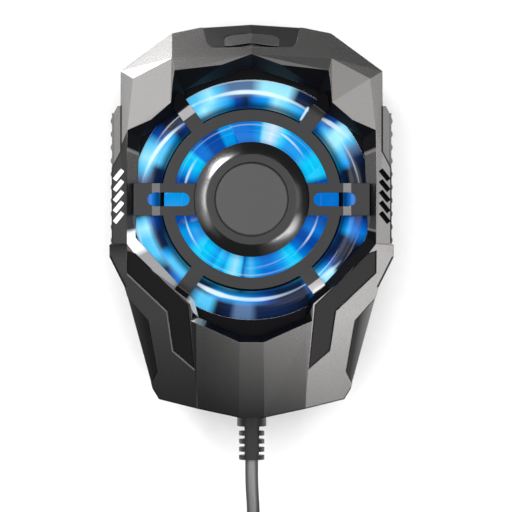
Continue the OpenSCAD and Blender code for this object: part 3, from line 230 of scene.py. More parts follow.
class Tree:
    """A material's nodes, with short ways to add them."""

    WEAR_START = 0.995
    WEAR_GAIN = 6.0

    def __init__(self, name: str) -> None:
        """Starts an empty material.

        Args:
            name: Its name.
        """
        self.material = bpy.data.materials.new(name)
        self.material.use_nodes = True
        self.nodes = self.material.node_tree.nodes
        self.links = self.material.node_tree.links
        self.nodes.clear()

    def node(self, kind: str, settings: dict | None = None, inputs: dict | None = None) -> Any:
        """Adds one node.

        Args:
            kind: Blender's name of the node type.
            settings: What the node is set to, a ramp's stops among them.
            inputs: Values or links of its sockets, by name or number.

        Returns:
            The node.
        """
        made = self.nodes.new(kind)
        for key, value in (settings or {}).items():
            if key == "stops":
                self._stops(made.color_ramp, value)
            else:
                setattr(made, key, value)
        for key, value in (inputs or {}).items():
            target = made.inputs[key]
            if isinstance(value, Sock):
                self.links.new(value.socket, target)
            elif target.type == "RGBA" and len(value) == 3:
                target.default_value = (*value, 1.0)
            else:
                target.default_value = value
        return made

    @staticmethod
    def _stops(ramp: Any, stops: Stops) -> None:
        """Writes a ramp's stops.

        Args:
            ramp: The colour ramp.
            stops: Place from 0 to 1 and colour, in rising order.
        """
        while len(ramp.elements) > 1:
            ramp.elements.remove(ramp.elements[-1])
        for index, (place, colour) in enumerate(stops):
            element = ramp.elements[0] if index == 0 else ramp.elements.new(place)
            element.position = place
            element.color = (*colour, 1.0)

    def value(self, number: Any) -> Sock:
        """A number as a socket.

        Args:
            number: The number, or a socket that is given back as it is.

        Returns:
            The socket.
        """
        if isinstance(number, Sock):
            return number
        made = self.node("ShaderNodeValue")
        made.outputs[0].default_value = number
        return Sock(self, made.outputs[0])

    def place(self) -> Sock:
        """Object coordinates."""
        return Sock(self, self.node("ShaderNodeTexCoord").outputs["Object"])

    def normal(self) -> Sock:
        """Direction of the surface, in the object's own axes."""
        return Sock(self, self.node("ShaderNodeTexCoord").outputs["Normal"])

    def axes(self, vector: Sock) -> tuple[Sock, Sock, Sock]:
        """The three parts of a vector."""
        made = self.node("ShaderNodeSeparateXYZ", inputs={0: vector})
        return tuple(Sock(self, output) for output in made.outputs)

    def joined(self, x: Any, y: Any, z: Any) -> Sock:
        """A vector of three parts."""
        return Sock(self, self.node("ShaderNodeCombineXYZ", inputs={0: x, 1: y, 2: z}).outputs[0])

    def noise(self, place: Sock, size: float, detail: float = 2.0, rough: float = 0.5) -> Sock:
        """Cloudy pattern whose blobs have a given size in metres."""
        inputs = {"Vector": place, "Scale": 1 / size, "Detail": detail, "Roughness": rough}
        return Sock(self, self.node("ShaderNodeTexNoise", inputs=inputs).outputs[0])

    def cells(self, place: Sock, size: float) -> Sock:
        """Distance to the nearest of many scattered points."""
        inputs = {"Vector": place, "Scale": 1 / size}
        return Sock(self, self.node("ShaderNodeTexVoronoi", inputs=inputs).outputs["Distance"])

    def stretched(self, place: Sock, scale: Point) -> Sock:
        """Coordinates pulled out along the axes."""
        made = self.node("ShaderNodeMapping", inputs={"Vector": place, "Scale": scale})
        return Sock(self, made.outputs[0])

    def mark(self, name: str) -> Sock:
        """A number painted on the mesh, nought where there is none."""
        return Sock(self, self.node("ShaderNodeAttribute", {"attribute_name": name}).outputs["Fac"])

    def ramp(self, share: Sock, stops: Stops) -> Sock:
        """Colour ramp over a share from 0 to 1."""
        return Sock(self, self.node("ShaderNodeValToRGB", {"stops": stops}, {0: share}).outputs[0])

    def blended(self, share: Any, first: Any, second: Any, kind: str = "MIX") -> Sock:
        """Mix of two colours.

        Args:
            share: How much of the second is taken, from 0 to 1.
            first: Colour at 0.
            second: Colour at 1, or what the first is blended with.
            kind: Blender's name of the blend.

        Returns:
            The colour.
        """
        settings = {"data_type": "RGBA", "blend_type": kind, "clamp_factor": True}
        made = self.node("ShaderNodeMix", settings, {0: share, 6: first, 7: second})
        return Sock(self, made.outputs[2])

    def times(self, share: Any, colour: Any, factor: float) -> Sock:
        """A colour times a factor where the share is one."""
        return self.blended(share, colour, (factor, factor, factor), "MULTIPLY")

    def dot(self, first: Sock, second: Sock) -> Sock:
        """How far two directions agree."""
        made = self.node("ShaderNodeVectorMath", {"operation": "DOT_PRODUCT"}, {0: first, 1: second})
        return Sock(self, made.outputs["Value"])

    def facing(self) -> Sock:
        """One at the silhouette, nought where the surface faces the eye."""
        return Sock(self, self.node("ShaderNodeLayerWeight").outputs["Facing"])

    def rounded(self, radius: float) -> Sock:
        """Normals that run softly over the edges."""
        made = self.node("ShaderNodeBevel", {"samples": 6}, {"Radius": radius})
        return Sock(self, made.outputs[0])

    def worn(self, rounded: Sock) -> Sock:
        """One on the edges, nought on the flats."""
        flat = Sock(self, self.node("ShaderNodeNewGeometry").outputs["True Normal"])
        return ((self.WEAR_START - self.dot(rounded, flat)) * self.WEAR_GAIN).share()

    def bump(self, height: Sock, depth: float, normal: Sock | None = None) -> Sock:
        """Surface relief.

        Args:
            height: Height from 0 to 1.
            depth: Depth of the relief in metres.
            normal: Normals that it is laid over.

        Returns:
            The new normals.
        """
        inputs = {"Distance": depth, "Height": height}
        if normal:
            inputs["Normal"] = normal
        return Sock(self, self.node("ShaderNodeBump", inputs=inputs).outputs[0])

    def surface(self, inputs: dict) -> bpy.types.Material:
        """Closes the tree with the main shader.

        Args:
            inputs: Values or links of the shader's sockets, by name.

        Returns:
            The material.
        """
        shader = self.node("ShaderNodeBsdfPrincipled", inputs=inputs)
        self.node("ShaderNodeOutputMaterial", inputs={"Surface": Sock(self, shader.outputs[0])})
        return self.material


INK = linear(6, 12, 26)
NAVY = linear(10, 28, 62)
DEEP = linear(0, 64, 150)
ROYAL = linear(0, 112, 204)
AZURE = linear(2, 150, 226)
SKY = linear(80, 188, 234)
CYAN = linear(10, 200, 244)
ICE = linear(150, 222, 246)
PALE = linear(214, 234, 246)
SLATE = linear(84, 112, 150)


@dataclass(frozen=True)
class Streak:
    """A painted highlight streak that runs round the fan's axis.

    Attributes:
        middle: Angle of its middle, in degrees.
        reach: Half its length, in degrees.
        radius: Radius at its middle, in millimetres.
        drift: Change of that radius over its half length.
        width: Half its width.
        strength: How white it is.
    """

    middle: float
    reach: float
    radius: float
    drift: float
    width: float
    strength: float


class Polar:
    """Angle and radius about the fan's axis, in a tree."""

    STREAK_REACH = 1.25
    STREAK_LEAST = 0.04
    STREAK_SOFT = 0.35 * MM

    def __init__(self, tree: Tree) -> None:
        """Adds the nodes.

        Args:
            tree: The material's nodes.
        """
        self.tree = tree
        x, y, _ = tree.axes(tree.place())
        y = y - FAN_Y
        self.degrees = y.angle_from(x) * (180 / math.pi)
        self.radius = ((x * x) + (y * y)) ** 0.5
        self.outward = tree.joined(x / self.radius, y / self.radius, 0.0)

    def within(self, spans: Sequence[Point]) -> Sock:
        """One within any of some spans of angle.

        Args:
            spans: Middle, half width and softness of each, in degrees.

        Returns:
            A mask from 0 to 1.
        """
        return reduce(Sock.most, [self.degrees.near(*span) for span in spans])

    def tones(self, stops: Stops) -> Sock:
        """Colour by angle.

        Args:
            stops: Angle in degrees from -180 to 180 and colour, in rising order.

        Returns:
            The colour.
        """
        halves = []
        for side in (-1, 1):
            part = [((angle + 90 - 90 * side) / 180, tone) for angle, tone in stops if angle * side >= 0]
            halves.append(self.tree.ramp((self.degrees + (90 - 90 * side)) / 180.0, part))
        right = self.degrees.near(180.0, 180.0, 0.2)
        return self.tree.blended(right, halves[0], halves[1])

    def streaked(self, tone: Sock, streaks: Sequence[Streak]) -> Sock:
        """Lays painted highlight streaks over a colour.

        Args:
            tone: The colour.
            streaks: The streaks.

        Returns:
            The new colour.
        """
        for streak in streaks:
            away = (self.degrees - streak.middle) / streak.reach
            fading = (self.STREAK_REACH - abs(away)).share()
            path = (away * streak.drift + streak.radius) * MM
            half = (fading * streak.width + self.STREAK_LEAST) * MM
            line = ((half - abs(self.radius - path)) / self.STREAK_SOFT + 0.5).share()
            tone = self.tree.blended(line * fading * streak.strength, tone, PALE)
        return tone


# Finishes


@dataclass(frozen=True)
class Finish:
    """A finish.

    Attributes:
        name: Name of its material slot.
    """

    name: str

    def build(self) -> bpy.types.Material:
        """Makes the material.

        Returns:
            The material.
        """
        raise NotImplementedError(self.name)


@dataclass(frozen=True)
class SatinMetal(Finish):
    """Metallic paint or metal with a fine grain and paler edges.

    Attributes:
        tone: Colour.
        metal: Share of metal.
        rough: Roughness.
        grain: Size of the specks.
        relief: Their depth.
        speck: How far they show in the colour.
        speck_tone: Factor on the tone in a speck.
        edge: Factor on the tone along the edges.
        round: Radius of the softened edges.
        cloud: Size of the slow changes of tone.
        drift: Their strength.
        wear: Size of the patches of wear on the edges.
        gloss: Level of the shine that isn't metal.
    """

    tone: Colour
    metal: float = 1.0
    rough: float = 0.26
    grain: float = 0.16 * MM
    relief: float = 0.0008 * MM
    speck: float = 0.06
    speck_tone: float = 1.4
    edge: float = 1.5
    round: float = 0.14 * MM
    cloud: float = 22 * MM
    drift: float = 0.07
    wear: float = 2.5 * MM
    gloss: float = 0.2

    def build(self) -> bpy.types.Material:
        """Makes the material.

        Returns:
            The material.
        """
        tree = Tree(self.name)
        place = tree.place()
        cloud = tree.noise(place, self.cloud, 3)
        speck = tree.noise(place, self.grain, 2, 0.6)
        normal = tree.rounded(self.round)
        worn = tree.worn(normal) * tree.noise(place, self.wear, 3)
        base = tree.blended(cloud, scaled(self.tone, 1 - self.drift), scaled(self.tone, 1 + self.drift))
        base = tree.blended(speck * self.speck, base, scaled(self.tone, self.speck_tone))
        base = tree.blended(worn, base, scaled(self.tone, self.edge))
        rough = self.rough + (speck - 0.5) * 0.06 + (cloud - 0.5) * 0.04 - worn * 0.08
        shader = {
            "Base Color": base, "Roughness": rough, "Metallic": self.metal, "Specular IOR Level": self.gloss,
            "Normal": tree.bump(speck, self.relief, normal),
        }
        self.painted(tree, shader)
        return tree.surface(shader)

    def painted(self, tree: Tree, shader: dict) -> None:
        """Adds what a kind of metal paints by place, painted shade and highlights among it."""


def beyond(x: Sock, y: Sock, edge: Edge, margin: float = 0.0) -> Sock:
    """Distance from a line in metres, positive at its left.

    Args:
        x: Coordinate across.
        y: Coordinate along.
        edge: Line from one point to another, in millimetres.
        margin: What is added to the distance, in millimetres.

    Returns:
        The distance.
    """
    (x0, y0), (x1, y1) = edge
    length = math.hypot(x1 - x0, y1 - y0)
    across, along = (y0 - y1) / length, (x1 - x0) / length
    return x * across + y * along + (margin - across * x0 - along * y0) * MM


def right_of(x: float) -> Edge:
    """Line with what is past x at its left."""
    return ((x, 1.0), (x, 0.0))


def left_of(x: float) -> Edge:
    """Line with what is short of x at its left."""
    return ((x, 0.0), (x, 1.0))


def above(y: float) -> Edge:
    """Line with what is above y at its left."""
    return ((0.0, y), (1.0, y))


# Corners of the cover's facets beside the window's top, from the middle to the right
WINDOW_TOP = (0.0, 38.5)
WINDOW_CORNER = (17.8, 34.8)
WINDOW_SIDE = (18.6, 27.4)
BAND_CORNER = (18.4, 37.6)
WING_CORNER = (27.4, 33.0)
WING_RIM = (30.3, 34.8)


@dataclass(frozen=True)
class Tint:
    """Facet whose tone is scaled for how the light falls on it: painted highlight above one, painted shade
    below one.

    Attributes:
        share: Factor on the tone.
        edges: Lines in millimetres with the facet at their left.
    """

    share: float
    edges: tuple[Edge, ...]


@dataclass(frozen=True)
class CoverMetal(SatinMetal):
    """Metal of the front cover, with painted shade and painted highlights laid over its tone by place.

    Attributes:
        end_shade: Share of the tone left at the lower end beside the middle block, a painted shade that
            darkens the cover downwards.
        block_end_shade: The same on the middle block.
        end_shade_start: Where that painted shade starts, below the origin.
        end_shade_reach: Length over which it grows.
        block: Half the width of the middle block.
        lift: Painted highlight on the block's middle and left, as a factor on the tone before the shade at
            the lower end.
        lift_start: Where the lift starts, left of the middle.
        lift_reach: Length over which it grows.
        lift_top: Where it starts, below the origin.
        ridge: Half the width of the block's middle facet.
        shade: Share of the tone at the lower left.
        deep: The same where the painted shade at the lower end is full.
        shade_start: Where that shade starts, below the origin.
        shade_reach: Length over which it grows.
        strip: How far to the left the side strip starts.
        strip_shade: Share of the tone on it.
        strip_top: Where its slanting upper end would meet the middle line.
        strip_slope: Rise of that end.
        level: How far up a face has to look to be painted.
        level_gain: How soon the paint is full past that.
        gap_shade: Share of the tone in the painted shade lines along the cover's edges.
        gap_shade_width: Width of the painted shade line beside an arm.
        arm_y: Middle of that line.
        arm_reach: Half its length.
        waist: Half the cover's width between the arms' upper parts.
        waist_y: Where it starts to widen.
        waist_slope: Fall over rise of the widening.
        waist_step: How much it widens.
        hem_width: Width of the painted shade line round the lower end, in millimetres.
        shoulder_width: Width of the painted shade line under the shoulder, in millimetres.
        pale: Factor on the tone in the painted highlight line along the left inlay.
        pale_offset: How far the line's middle is outside the inlay.
        pale_half: Half its width.
        pale_soft: Its softness.
        pale_x: Middle of the inlay, across.
        pale_reach: Half the inlay's width.
        slot_y: Middle of the row of slots, along.
        slot_reach: Half the row's length.
        slot_x: Middle of the row, across.
        slot_half: Half the row's width.
        slot_floor: Height below which a slot's floor is painted, white as a highlight on the left and black
            as shade on the right.
        slot_steepness: Steepness of that boundary.
        lip: Height of the window's lip.
        wall_radius: How far from the axis the painted walls reach.
        wall_lean: How far inward a face has to look to be a wall.
        wall_gain: How soon the paint is full past that.
        wall_rough: What the paint adds to the roughness.
    """

    end_shade: float = 0.5
    block_end_shade: float = 0.16
    end_shade_start: float = 22 * MM
    end_shade_reach: float = 26 * MM
    block: float = 12.7 * MM
    lift: float = 1.7
    lift_start: float = 11 * MM
    lift_reach: float = 8 * MM
    lift_top: float = 12 * MM
    ridge: float = 2.87 * MM
    shade: float = 0.36
    deep: float = 0.12
    shade_start: float = 5.3 * MM
    shade_reach: float = 8 * MM
    strip: float = 28.75 * MM
    strip_shade: float = 0.16
    strip_top: float = 88.6 * MM
    strip_slope: float = 2.35
    level: float = 0.35
    level_gain: float = 12.0
    gap_shade: float = 0.1
    gap_shade_width: float = 0.38 * MM
    arm_y: float = 10.9 * MM
    arm_reach: float = 15.9 * MM
    waist: float = 30.35 * MM
    waist_y: float = 16.3 * MM
    waist_slope: float = 1.9
    waist_step: float = 2.05 * MM
    hem_width: float = 0.3
    shoulder_width: float = 0.5
    pale: float = 1.1
    pale_offset: float = 0.1 * MM
    pale_half: float = 0.17 * MM
    pale_soft: float = 0.06 * MM
    pale_x: float = 21.05 * MM
    pale_reach: float = 7.8 * MM
    slot_y: float = 5.85 * MM
    slot_reach: float = 6.6 * MM
    slot_x: float = 30.9 * MM
    slot_half: float = 1.3 * MM
    slot_floor: float = 32.15 * MM
    slot_steepness: float = 30000.0
    lip: float = 31.3 * MM
    wall_radius: float = 36 * MM
    wall_lean: float = 0.22
    wall_gain: float = 40.0
    wall_rough: float = 0.3

    # Colours of painted shade, of a painted lit wall, of painted glints and of the painted highlight on the
    # left slots
    BLACK = (0.002, 0.002, 0.003)
    LIGHT = (0.25, 0.25, 0.255)
    GLINT = (0.75, 0.75, 0.76)
    WHITE = (0.9, 0.9, 0.9)
    # Painted shade and highlights on single facets beside the window's top
    TINTS = (
        Tint(0.74, (right_of(-BAND_CORNER[0]), left_of(0.0), above(34.0))),
        Tint(0.66, ((BAND_CORNER, WINDOW_TOP), left_of(BAND_CORNER[0]), right_of(0.0), above(34.0))),
        Tint(1.4, (right_of(BAND_CORNER[0]), (BAND_CORNER, WING_CORNER), (WING_CORNER, WING_RIM))),
        Tint(0.82, ((WING_CORNER, BAND_CORNER), (WINDOW_SIDE, WING_CORNER), (BAND_CORNER, WINDOW_CORNER))),
    )
    # Right half of the lower end's outline, of the shoulder and of the lower inlay's outer side
    # Painted shade lines run along the lower end's outline and the shoulder
    HEM = (((23.1, -39.0), (21.6, -41.4)), ((21.6, -41.4), (12.4, -43.5)), ((12.4, -43.5), (2.9, -45.5)))
    SHOULDER = ((33.0, -8.2), (29.5, -15.2))
    # A painted highlight line runs along the inlay's outer side
    INLAY = (((28.9, -12.0), (19.5, -20.8)), ((19.5, -20.8), (18.2, -30.0)), ((18.2, -30.0), (13.2, -34.2)))
    # Spans of the window's walls painted as shade, as lit and as glints: middle, half width and softness in
    # degrees
    DARK_WALLS = ((90.0, 67.0, 2.0), (-62.5, 47.5, 1.5))
    LIGHT_WALL = ((-139.0, 26.0, 1.5),)
    GLINTS = ((-160.0, 4.0, 3.0), (-118.5, 2.5, 2.0))

    def painted(self, tree: Tree, shader: dict) -> None:
        """Paints shade and highlights onto the cover, part by part.

        Args:
            tree: The material's nodes.
            shader: Inputs of its shader, changed here.
        """
        x, y, z = tree.axes(tree.place())
        upward = ((tree.axes(tree.normal())[2] - self.level) * self.level_gain).share()
        left = (-x - self.block).crisp()
        # Painted shade that darkens the cover towards its lower end
        end_shade_share = ((-y - self.end_shade_start) / self.end_shade_reach).share()
        base = self._lifted_and_end_shaded(tree, x, y, end_shade_share, shader["Base Color"])
        # Painted shade on the lower left, deeper where the lower end is shaded
        low = left * upward * ((-y - self.shade_start) / self.shade_reach).share()
        shade = tree.blended(end_shade_share, scaled(self.tone, self.shade), scaled(self.tone, self.deep))
        base = tree.blended(low, base, shade)
        # Painted shade on the left side strip
        strip = upward * (-x - self.strip).crisp() * (self.strip_top - y + x * self.strip_slope).crisp()
        base = tree.blended(strip * (1 - low), base, scaled(self.tone, self.strip_shade))
        # Painted shade and highlights on single facets
        for tint in self.TINTS:
            masks = [beyond(x, y, edge).crisp() for edge in tint.edges]
            base = tree.times(reduce(Sock.__mul__, masks, upward), base, tint.share)
        # Painted shade lines along the edges beside the arms, round the lower end and under the shoulder
        base = tree.blended(upward * self._gap_shades(abs(x), y), base, scaled(self.tone, self.gap_shade))
        # Painted highlight line along the left inlay's outer side
        base = tree.blended(upward * self._highlight_line(-x, y), base, scaled(self.tone, self.pale))
        # Slot floors: a painted highlight in white on the left, painted shade in black on the right
        row = y.near(self.slot_y, self.slot_reach, LINE) * abs(x).near(self.slot_x, self.slot_half, LINE)
        slots = row * (self.slot_floor - z).crisp(self.slot_steepness)
        base = tree.blended(slots, base, tree.blended(left, self.BLACK, self.WHITE))
        # Window walls: painted shade on the dark ones, a painted lit tone with glints on the lower left
        polar = Polar(tree)
        inward = -tree.dot(tree.normal(), polar.outward)
        walls = ((inward - self.wall_lean) * self.wall_gain).share()
        walls = walls * (z - self.lip).crisp() * (self.wall_radius - polar.radius).crisp()
        dark, lit = walls * polar.within(self.DARK_WALLS), walls * polar.within(self.LIGHT_WALL)
        base = tree.blended(dark, base, self.BLACK)
        shine = tree.blended(polar.within(self.GLINTS), self.LIGHT, self.GLINT)
        shader["Base Color"] = tree.blended(lit, base, shine)
        shader["Metallic"] = (self.metal - slots - dark.most(lit)).most(0.0)
        shader["Roughness"] = shader["Roughness"] + dark.most(lit) * self.wall_rough

    def _lifted_and_end_shaded(self, tree: Tree, x: Sock, y: Sock, end_shade_share: Sock, base: Sock) -> Sock:
        """Paints a highlight on the block's middle and left, and a shade that darkens the lower end.

        Args:
            tree: The material's nodes.
            x: Coordinate across.
            y: Coordinate along.
            end_shade_share: How far the painted shade at the lower end has grown.
            base: Colour so far.

        Returns:
            The new colour.
        """
        # Painted highlight on the block's middle and left
        lift = ((x + self.lift_start) / self.lift_reach).share() * (self.ridge - x).crisp()
        base = tree.times(lift * (-y - self.lift_top).crisp(), base, self.lift)
        # Painted shade at the lower end, deeper on the middle block
        middle = (self.block - abs(x)).crisp()
        end = tree.blended(middle, scaled(self.tone, self.end_shade), scaled(self.tone, self.block_end_shade))
        return tree.blended(end_shade_share, base, end)

    def _gap_shades(self, aside: Sock, y: Sock) -> Sock:
        """Mask of the painted shade lines along the cover's edges beside the arms, round the lower end and
        under the shoulder.

        Args:
            aside: Distance from the middle line.
            y: Coordinate along.

        Returns:
            A mask from 0 to 1.
        """
        widening = ((self.waist_y - y) / self.waist_slope).most(0.0).least(self.waist_step)
        dark = (aside - widening - (self.waist - self.gap_shade_width)).crisp()
        dark = dark * y.near(self.arm_y, self.arm_reach, LINE)
        for edge in self.HEM:
            dark = dark.most(beyond(aside, y, edge, self.hem_width).crisp())
        (_, top), (_, end) = self.SHOULDER
        beside = y.near((top + end) / 2 * MM, (top - end) / 2 * MM, LINE)
        return dark.most(beyond(aside, y, self.SHOULDER, self.shoulder_width).crisp() * beside)

    def _highlight_line(self, aside: Sock, y: Sock) -> Sock:
        """Mask of the painted highlight line along the outer side of the left inlay.

        Args:
            aside: Distance to the left of the middle line.
            y: Coordinate along.

        Returns:
            A mask from 0 to 1.
        """
        upper, middle, lower = (beyond(aside, y, edge) for edge in self.INLAY)
        line = upper.least(middle).most(lower).near(self.pale_offset, self.pale_half, self.pale_soft)
        return line * aside.near(self.pale_x, self.pale_reach, LINE)


@dataclass(frozen=True)
class TrimMetal(SatinMetal):
    """Turned chamfer round a dark flat, with painted highlights on some stretches and painted shade between
    them.

    Attributes:
        land: Radius of the flat.
        land_soft: Softness of its boundary.
        weaker: Brightness of the weaker painted highlights.
    """

    land: float = 10.9 * MM
    land_soft: float = 0.5 * MM
    weaker: float = 0.8

    FLAT = (0.12, 0.12, 0.12)
    # Painted shade on the chamfer, then spans of its painted highlights
    CHAMFER_SHADE = (0.12, 0.12, 0.125)
    BRIGHT = ((160.0, 18.0, 45.0), (-172.0, 8.0, 22.0))
    WEAKER = ((-50.0, 8.0, 26.0),)

    def painted(self, tree: Tree, shader: dict) -> None:
        """Darkens the flat, and paints shade on the chamfer between its painted highlights.

        Args:
            tree: The material's nodes.
            shader: Inputs of its shader, changed here.
        """
        polar = Polar(tree)
        # Painted highlights on the chamfer, painted shade between them
        bright = polar.within(self.BRIGHT).most(polar.within(self.WEAKER) * self.weaker)
        base = tree.blended(bright, self.CHAMFER_SHADE, shader["Base Color"])
        inside = ((self.land - polar.radius) / self.land_soft).share()
        shader["Base Color"] = tree.blended(inside, base, self.FLAT)


@dataclass(frozen=True)
class GuardMetal(SatinMetal):
    """Metal of the guard: paler on the disc, with a painted highlight on the folds and painted shade where
    the spokes end.

    Attributes:
        disc: Radius of the disc.
        ends: Radius past which the spokes are painted black as shade.
    """

    disc: float = 8.4 * MM
    ends: float = 26.2 * MM

    MIDDLE = (0.2, 0.196, 0.196)
    FOLD_HIGHLIGHT = (0.75, 0.74, 0.75)
    BLACK = (0.01, 0.01, 0.012)
    SPOKES = ((90.0, 70.0, 2.0), (-90.0, 70.0, 2.0))

    def painted(self, tree: Tree, shader: dict) -> None:
        """Paints the disc, the folds' highlight and the shade on the ends.

        Args:
            tree: The material's nodes.
            shader: Inputs of its shader, changed here.
        """
        polar = Polar(tree)
        base = tree.blended((self.disc - polar.radius).crisp(), shader["Base Color"], self.MIDDLE)
        # Painted highlight on the folds
        base = tree.blended(tree.mark("fold"), base, self.FOLD_HIGHLIGHT)
        # Painted shade on the spokes' ends
        outside = (polar.radius - self.ends).crisp()
        shader["Base Color"] = tree.blended(outside * polar.within(self.SPOKES), base, self.BLACK)


@dataclass(frozen=True)
class InlayMetal(SatinMetal):
    """Dark metal of the inlays, paler at the top, with painted highlights on the top inlay's right half and
    on the outer part of the side inserts.

    Attributes:
        start: Where the top inlay starts.
        right: Factor on the tone of the top inlay's right half, a painted highlight.
        insert_top: Where the side inserts start, below the origin.
        outer_start: How far from its inner edge an insert starts its painted highlight, in millimetres.
        outer_reach: Width over which it does.
        outer_left: How far the left insert follows the right one.
    """

    start: float = 38 * MM
    right: float = 1.55
    insert_top: float = 14.5 * MM
    outer_start: float = 1.0
    outer_reach: float = 2.6 * MM
    outer_left: float = 0.3

    TOP = (0.125, 0.123, 0.123)
    # Painted highlight on the outer part of the side inserts
    OUTER = (0.22, 0.22, 0.22)
    INSERT = ((23.9, -23.0), (21.9, -34.9))

    def painted(self, tree: Tree, shader: dict) -> None:
        """Paints the top inlay, with a painted highlight on its right half, and painted highlights on the
        side inserts.

        Args:
            tree: The material's nodes.
            shader: Inputs of its shader, changed here.
        """
        x, y, _ = tree.axes(tree.place())
        # Painted highlight on the top inlay's right half
        top = tree.blended(x.crisp(), self.TOP, scaled(self.TOP, self.right))
        base = tree.blended((y - self.start).crisp(), shader["Base Color"], top)
        # Painted highlight growing towards the outer part of the side inserts
        outer = (beyond(abs(x), y, self.INSERT, -self.outer_start) / self.outer_reach).share()
        outer = outer * (-y - self.insert_top).crisp() * x.crisp().most(self.outer_left)
        shader["Base Color"] = tree.blended(outer, base, self.OUTER)


@dataclass(frozen=True)
class BrushedMetal(Finish):
    """Bare metal with fine lines along one axis.

    Attributes:
        tone: Colour.
        along: How much finer the lines are along each axis.
        rough: Roughness.
        relief: Depth of the lines.
        line: Size of their pattern.
        cloud: Size of the slow changes of roughness.
        low: Factor on the tone in the lines.
        high: The same between them.
        round: Radius of the softened edges.
    """

    tone: Colour
    along: Point = (1.0, 30.0, 30.0)
    rough: float = 0.28
    relief: float = 0.004 * MM
    line: float = 3 * MM
    cloud: float = 9 * MM
    low: float = 0.82
    high: float = 1.1
    round: float = 0.08 * MM

    def build(self) -> bpy.types.Material:
        """Makes the material.

        Returns:
            The material.
        """
        tree = Tree(self.name)
        place = tree.place()
        lines = tree.noise(tree.stretched(place, self.along), self.line, 3, 0.7)
        cloud = tree.noise(place, self.cloud, 2)
        base = tree.blended(lines, scaled(self.tone, self.low), scaled(self.tone, self.high))
        rough = self.rough + (lines - 0.5) * 0.2 + (cloud - 0.5) * 0.08
        return tree.surface({
            "Base Color": base, "Roughness": rough, "Metallic": 1.0,
            "Normal": tree.bump(lines, self.relief, tree.rounded(self.round)),
        })


@dataclass(frozen=True)
class MouldedPlastic(Finish):
    """Moulded plastic with a spark-eroded grain.

    Attributes:
        tone: Colour.
        rough: Roughness.
        grain: Size of the grain.
        relief: Its depth.
        edge: Factor on the tone along the edges.
        gloss: Level of the shine.
        round: Radius of the softened edges.
        cloud: Size of the slow changes of tone.
        drift: Their strength.
        wear: Size of the patches of wear on the edges.
    """

    tone: Colour
    rough: float = 0.45
    grain: float = 0.14 * MM
    relief: float = 0.012 * MM
    edge: float = 1.5
    gloss: float = 0.5
    round: float = 0.12 * MM
    cloud: float = 12 * MM
    drift: float = 0.15
    wear: float = 1.8 * MM

    def build(self) -> bpy.types.Material:
        """Makes the material.

        Returns:
            The material.
        """
        tree = Tree(self.name)
        place = tree.place()
        grain = tree.noise(place, self.grain, 3, 0.65)
        cloud = tree.noise(place, self.cloud, 2)
        normal = tree.rounded(self.round)
        worn = tree.worn(normal) * tree.noise(place, self.wear, 2)
        base = tree.blended(cloud, scaled(self.tone, 1 - self.drift), scaled(self.tone, 1 + self.drift))
        base = tree.blended(worn, base, scaled(self.tone, self.edge))
        rough = self.rough + (grain - 0.5) * 0.15 + (cloud - 0.5) * 0.06
        return tree.surface({
            "Base Color": base, "Roughness": rough, "Specular IOR Level": self.gloss,
            "Normal": tree.bump(grain, self.relief, normal),
        })


@dataclass(frozen=True)
class SoftRubber(Finish):
    """Matt silicone or rubber with a dusty bloom.

    Attributes:
        tone: Colour.
        rough: Roughness.
        grain: Size of the grain.
        relief: Its depth.
        bloom: Size of the patches of bloom.
        bloom_share: How far they show.
        bloom_tone: Factor on the tone in them.
        round: Radius of the softened edges.
    """

    tone: Colour
    rough: float = 0.72
    grain: float = 0.2 * MM
    relief: float = 0.015 * MM
    bloom: float = 5 * MM
    bloom_share: float = 0.5
    bloom_tone: float = 1.7
    round: float = 0.15 * MM

    def build(self) -> bpy.types.Material:
        """Makes the material.

        Returns:
            The material.
        """
        tree = Tree(self.name)
        place = tree.place()
        grain = tree.noise(place, self.grain, 4, 0.7)
        bloom = tree.noise(place, self.bloom, 4, 0.6)
        base = tree.blended(bloom * self.bloom_share, self.tone, scaled(self.tone, self.bloom_tone))
        rough = self.rough + (bloom - 0.5) * 0.2
        return tree.surface({
            "Base Color": base, "Roughness": rough, "Sheen Weight": 0.2,
            "Normal": tree.bump(grain, self.relief, tree.rounded(self.round)),
        })


@dataclass(frozen=True)
class GlossySheath(Finish):
    """Shiny black rubber with a painted highlight: paler where it faces the eye.

    Attributes:
        tone: Colour at the silhouette.
        sheen: Colour of the painted highlight, where it faces the eye.
        grain: Size of the grain.
        relief: Its depth.
        turn: How far it may turn from the eye before the sheen is gone.
        gain: How soon the sheen grows from there.
        round: Radius of the softened edges.
    """

    tone: Colour
    sheen: Colour
    grain: float = 0.3 * MM
    relief: float = 0.003 * MM
    turn: float = 0.42
    gain: float = 3.2
    round: float = 0.2 * MM

    def build(self) -> bpy.types.Material:
        """Makes the material.

        Returns:
            The material.
        """
        tree = Tree(self.name)
        grain = tree.noise(tree.place(), self.grain, 3)
        # Painted highlight where the sheath faces the eye
        facing = ((self.turn - tree.facing()) * self.gain).share()
        base = tree.blended(facing * (0.8 + grain * 0.2), self.tone, self.sheen)
        return tree.surface({
            "Base Color": base, "Roughness": 0.3 + grain * 0.08, "Metallic": 0.5,
            "Normal": tree.bump(grain, self.relief, tree.rounded(self.round)),
        })


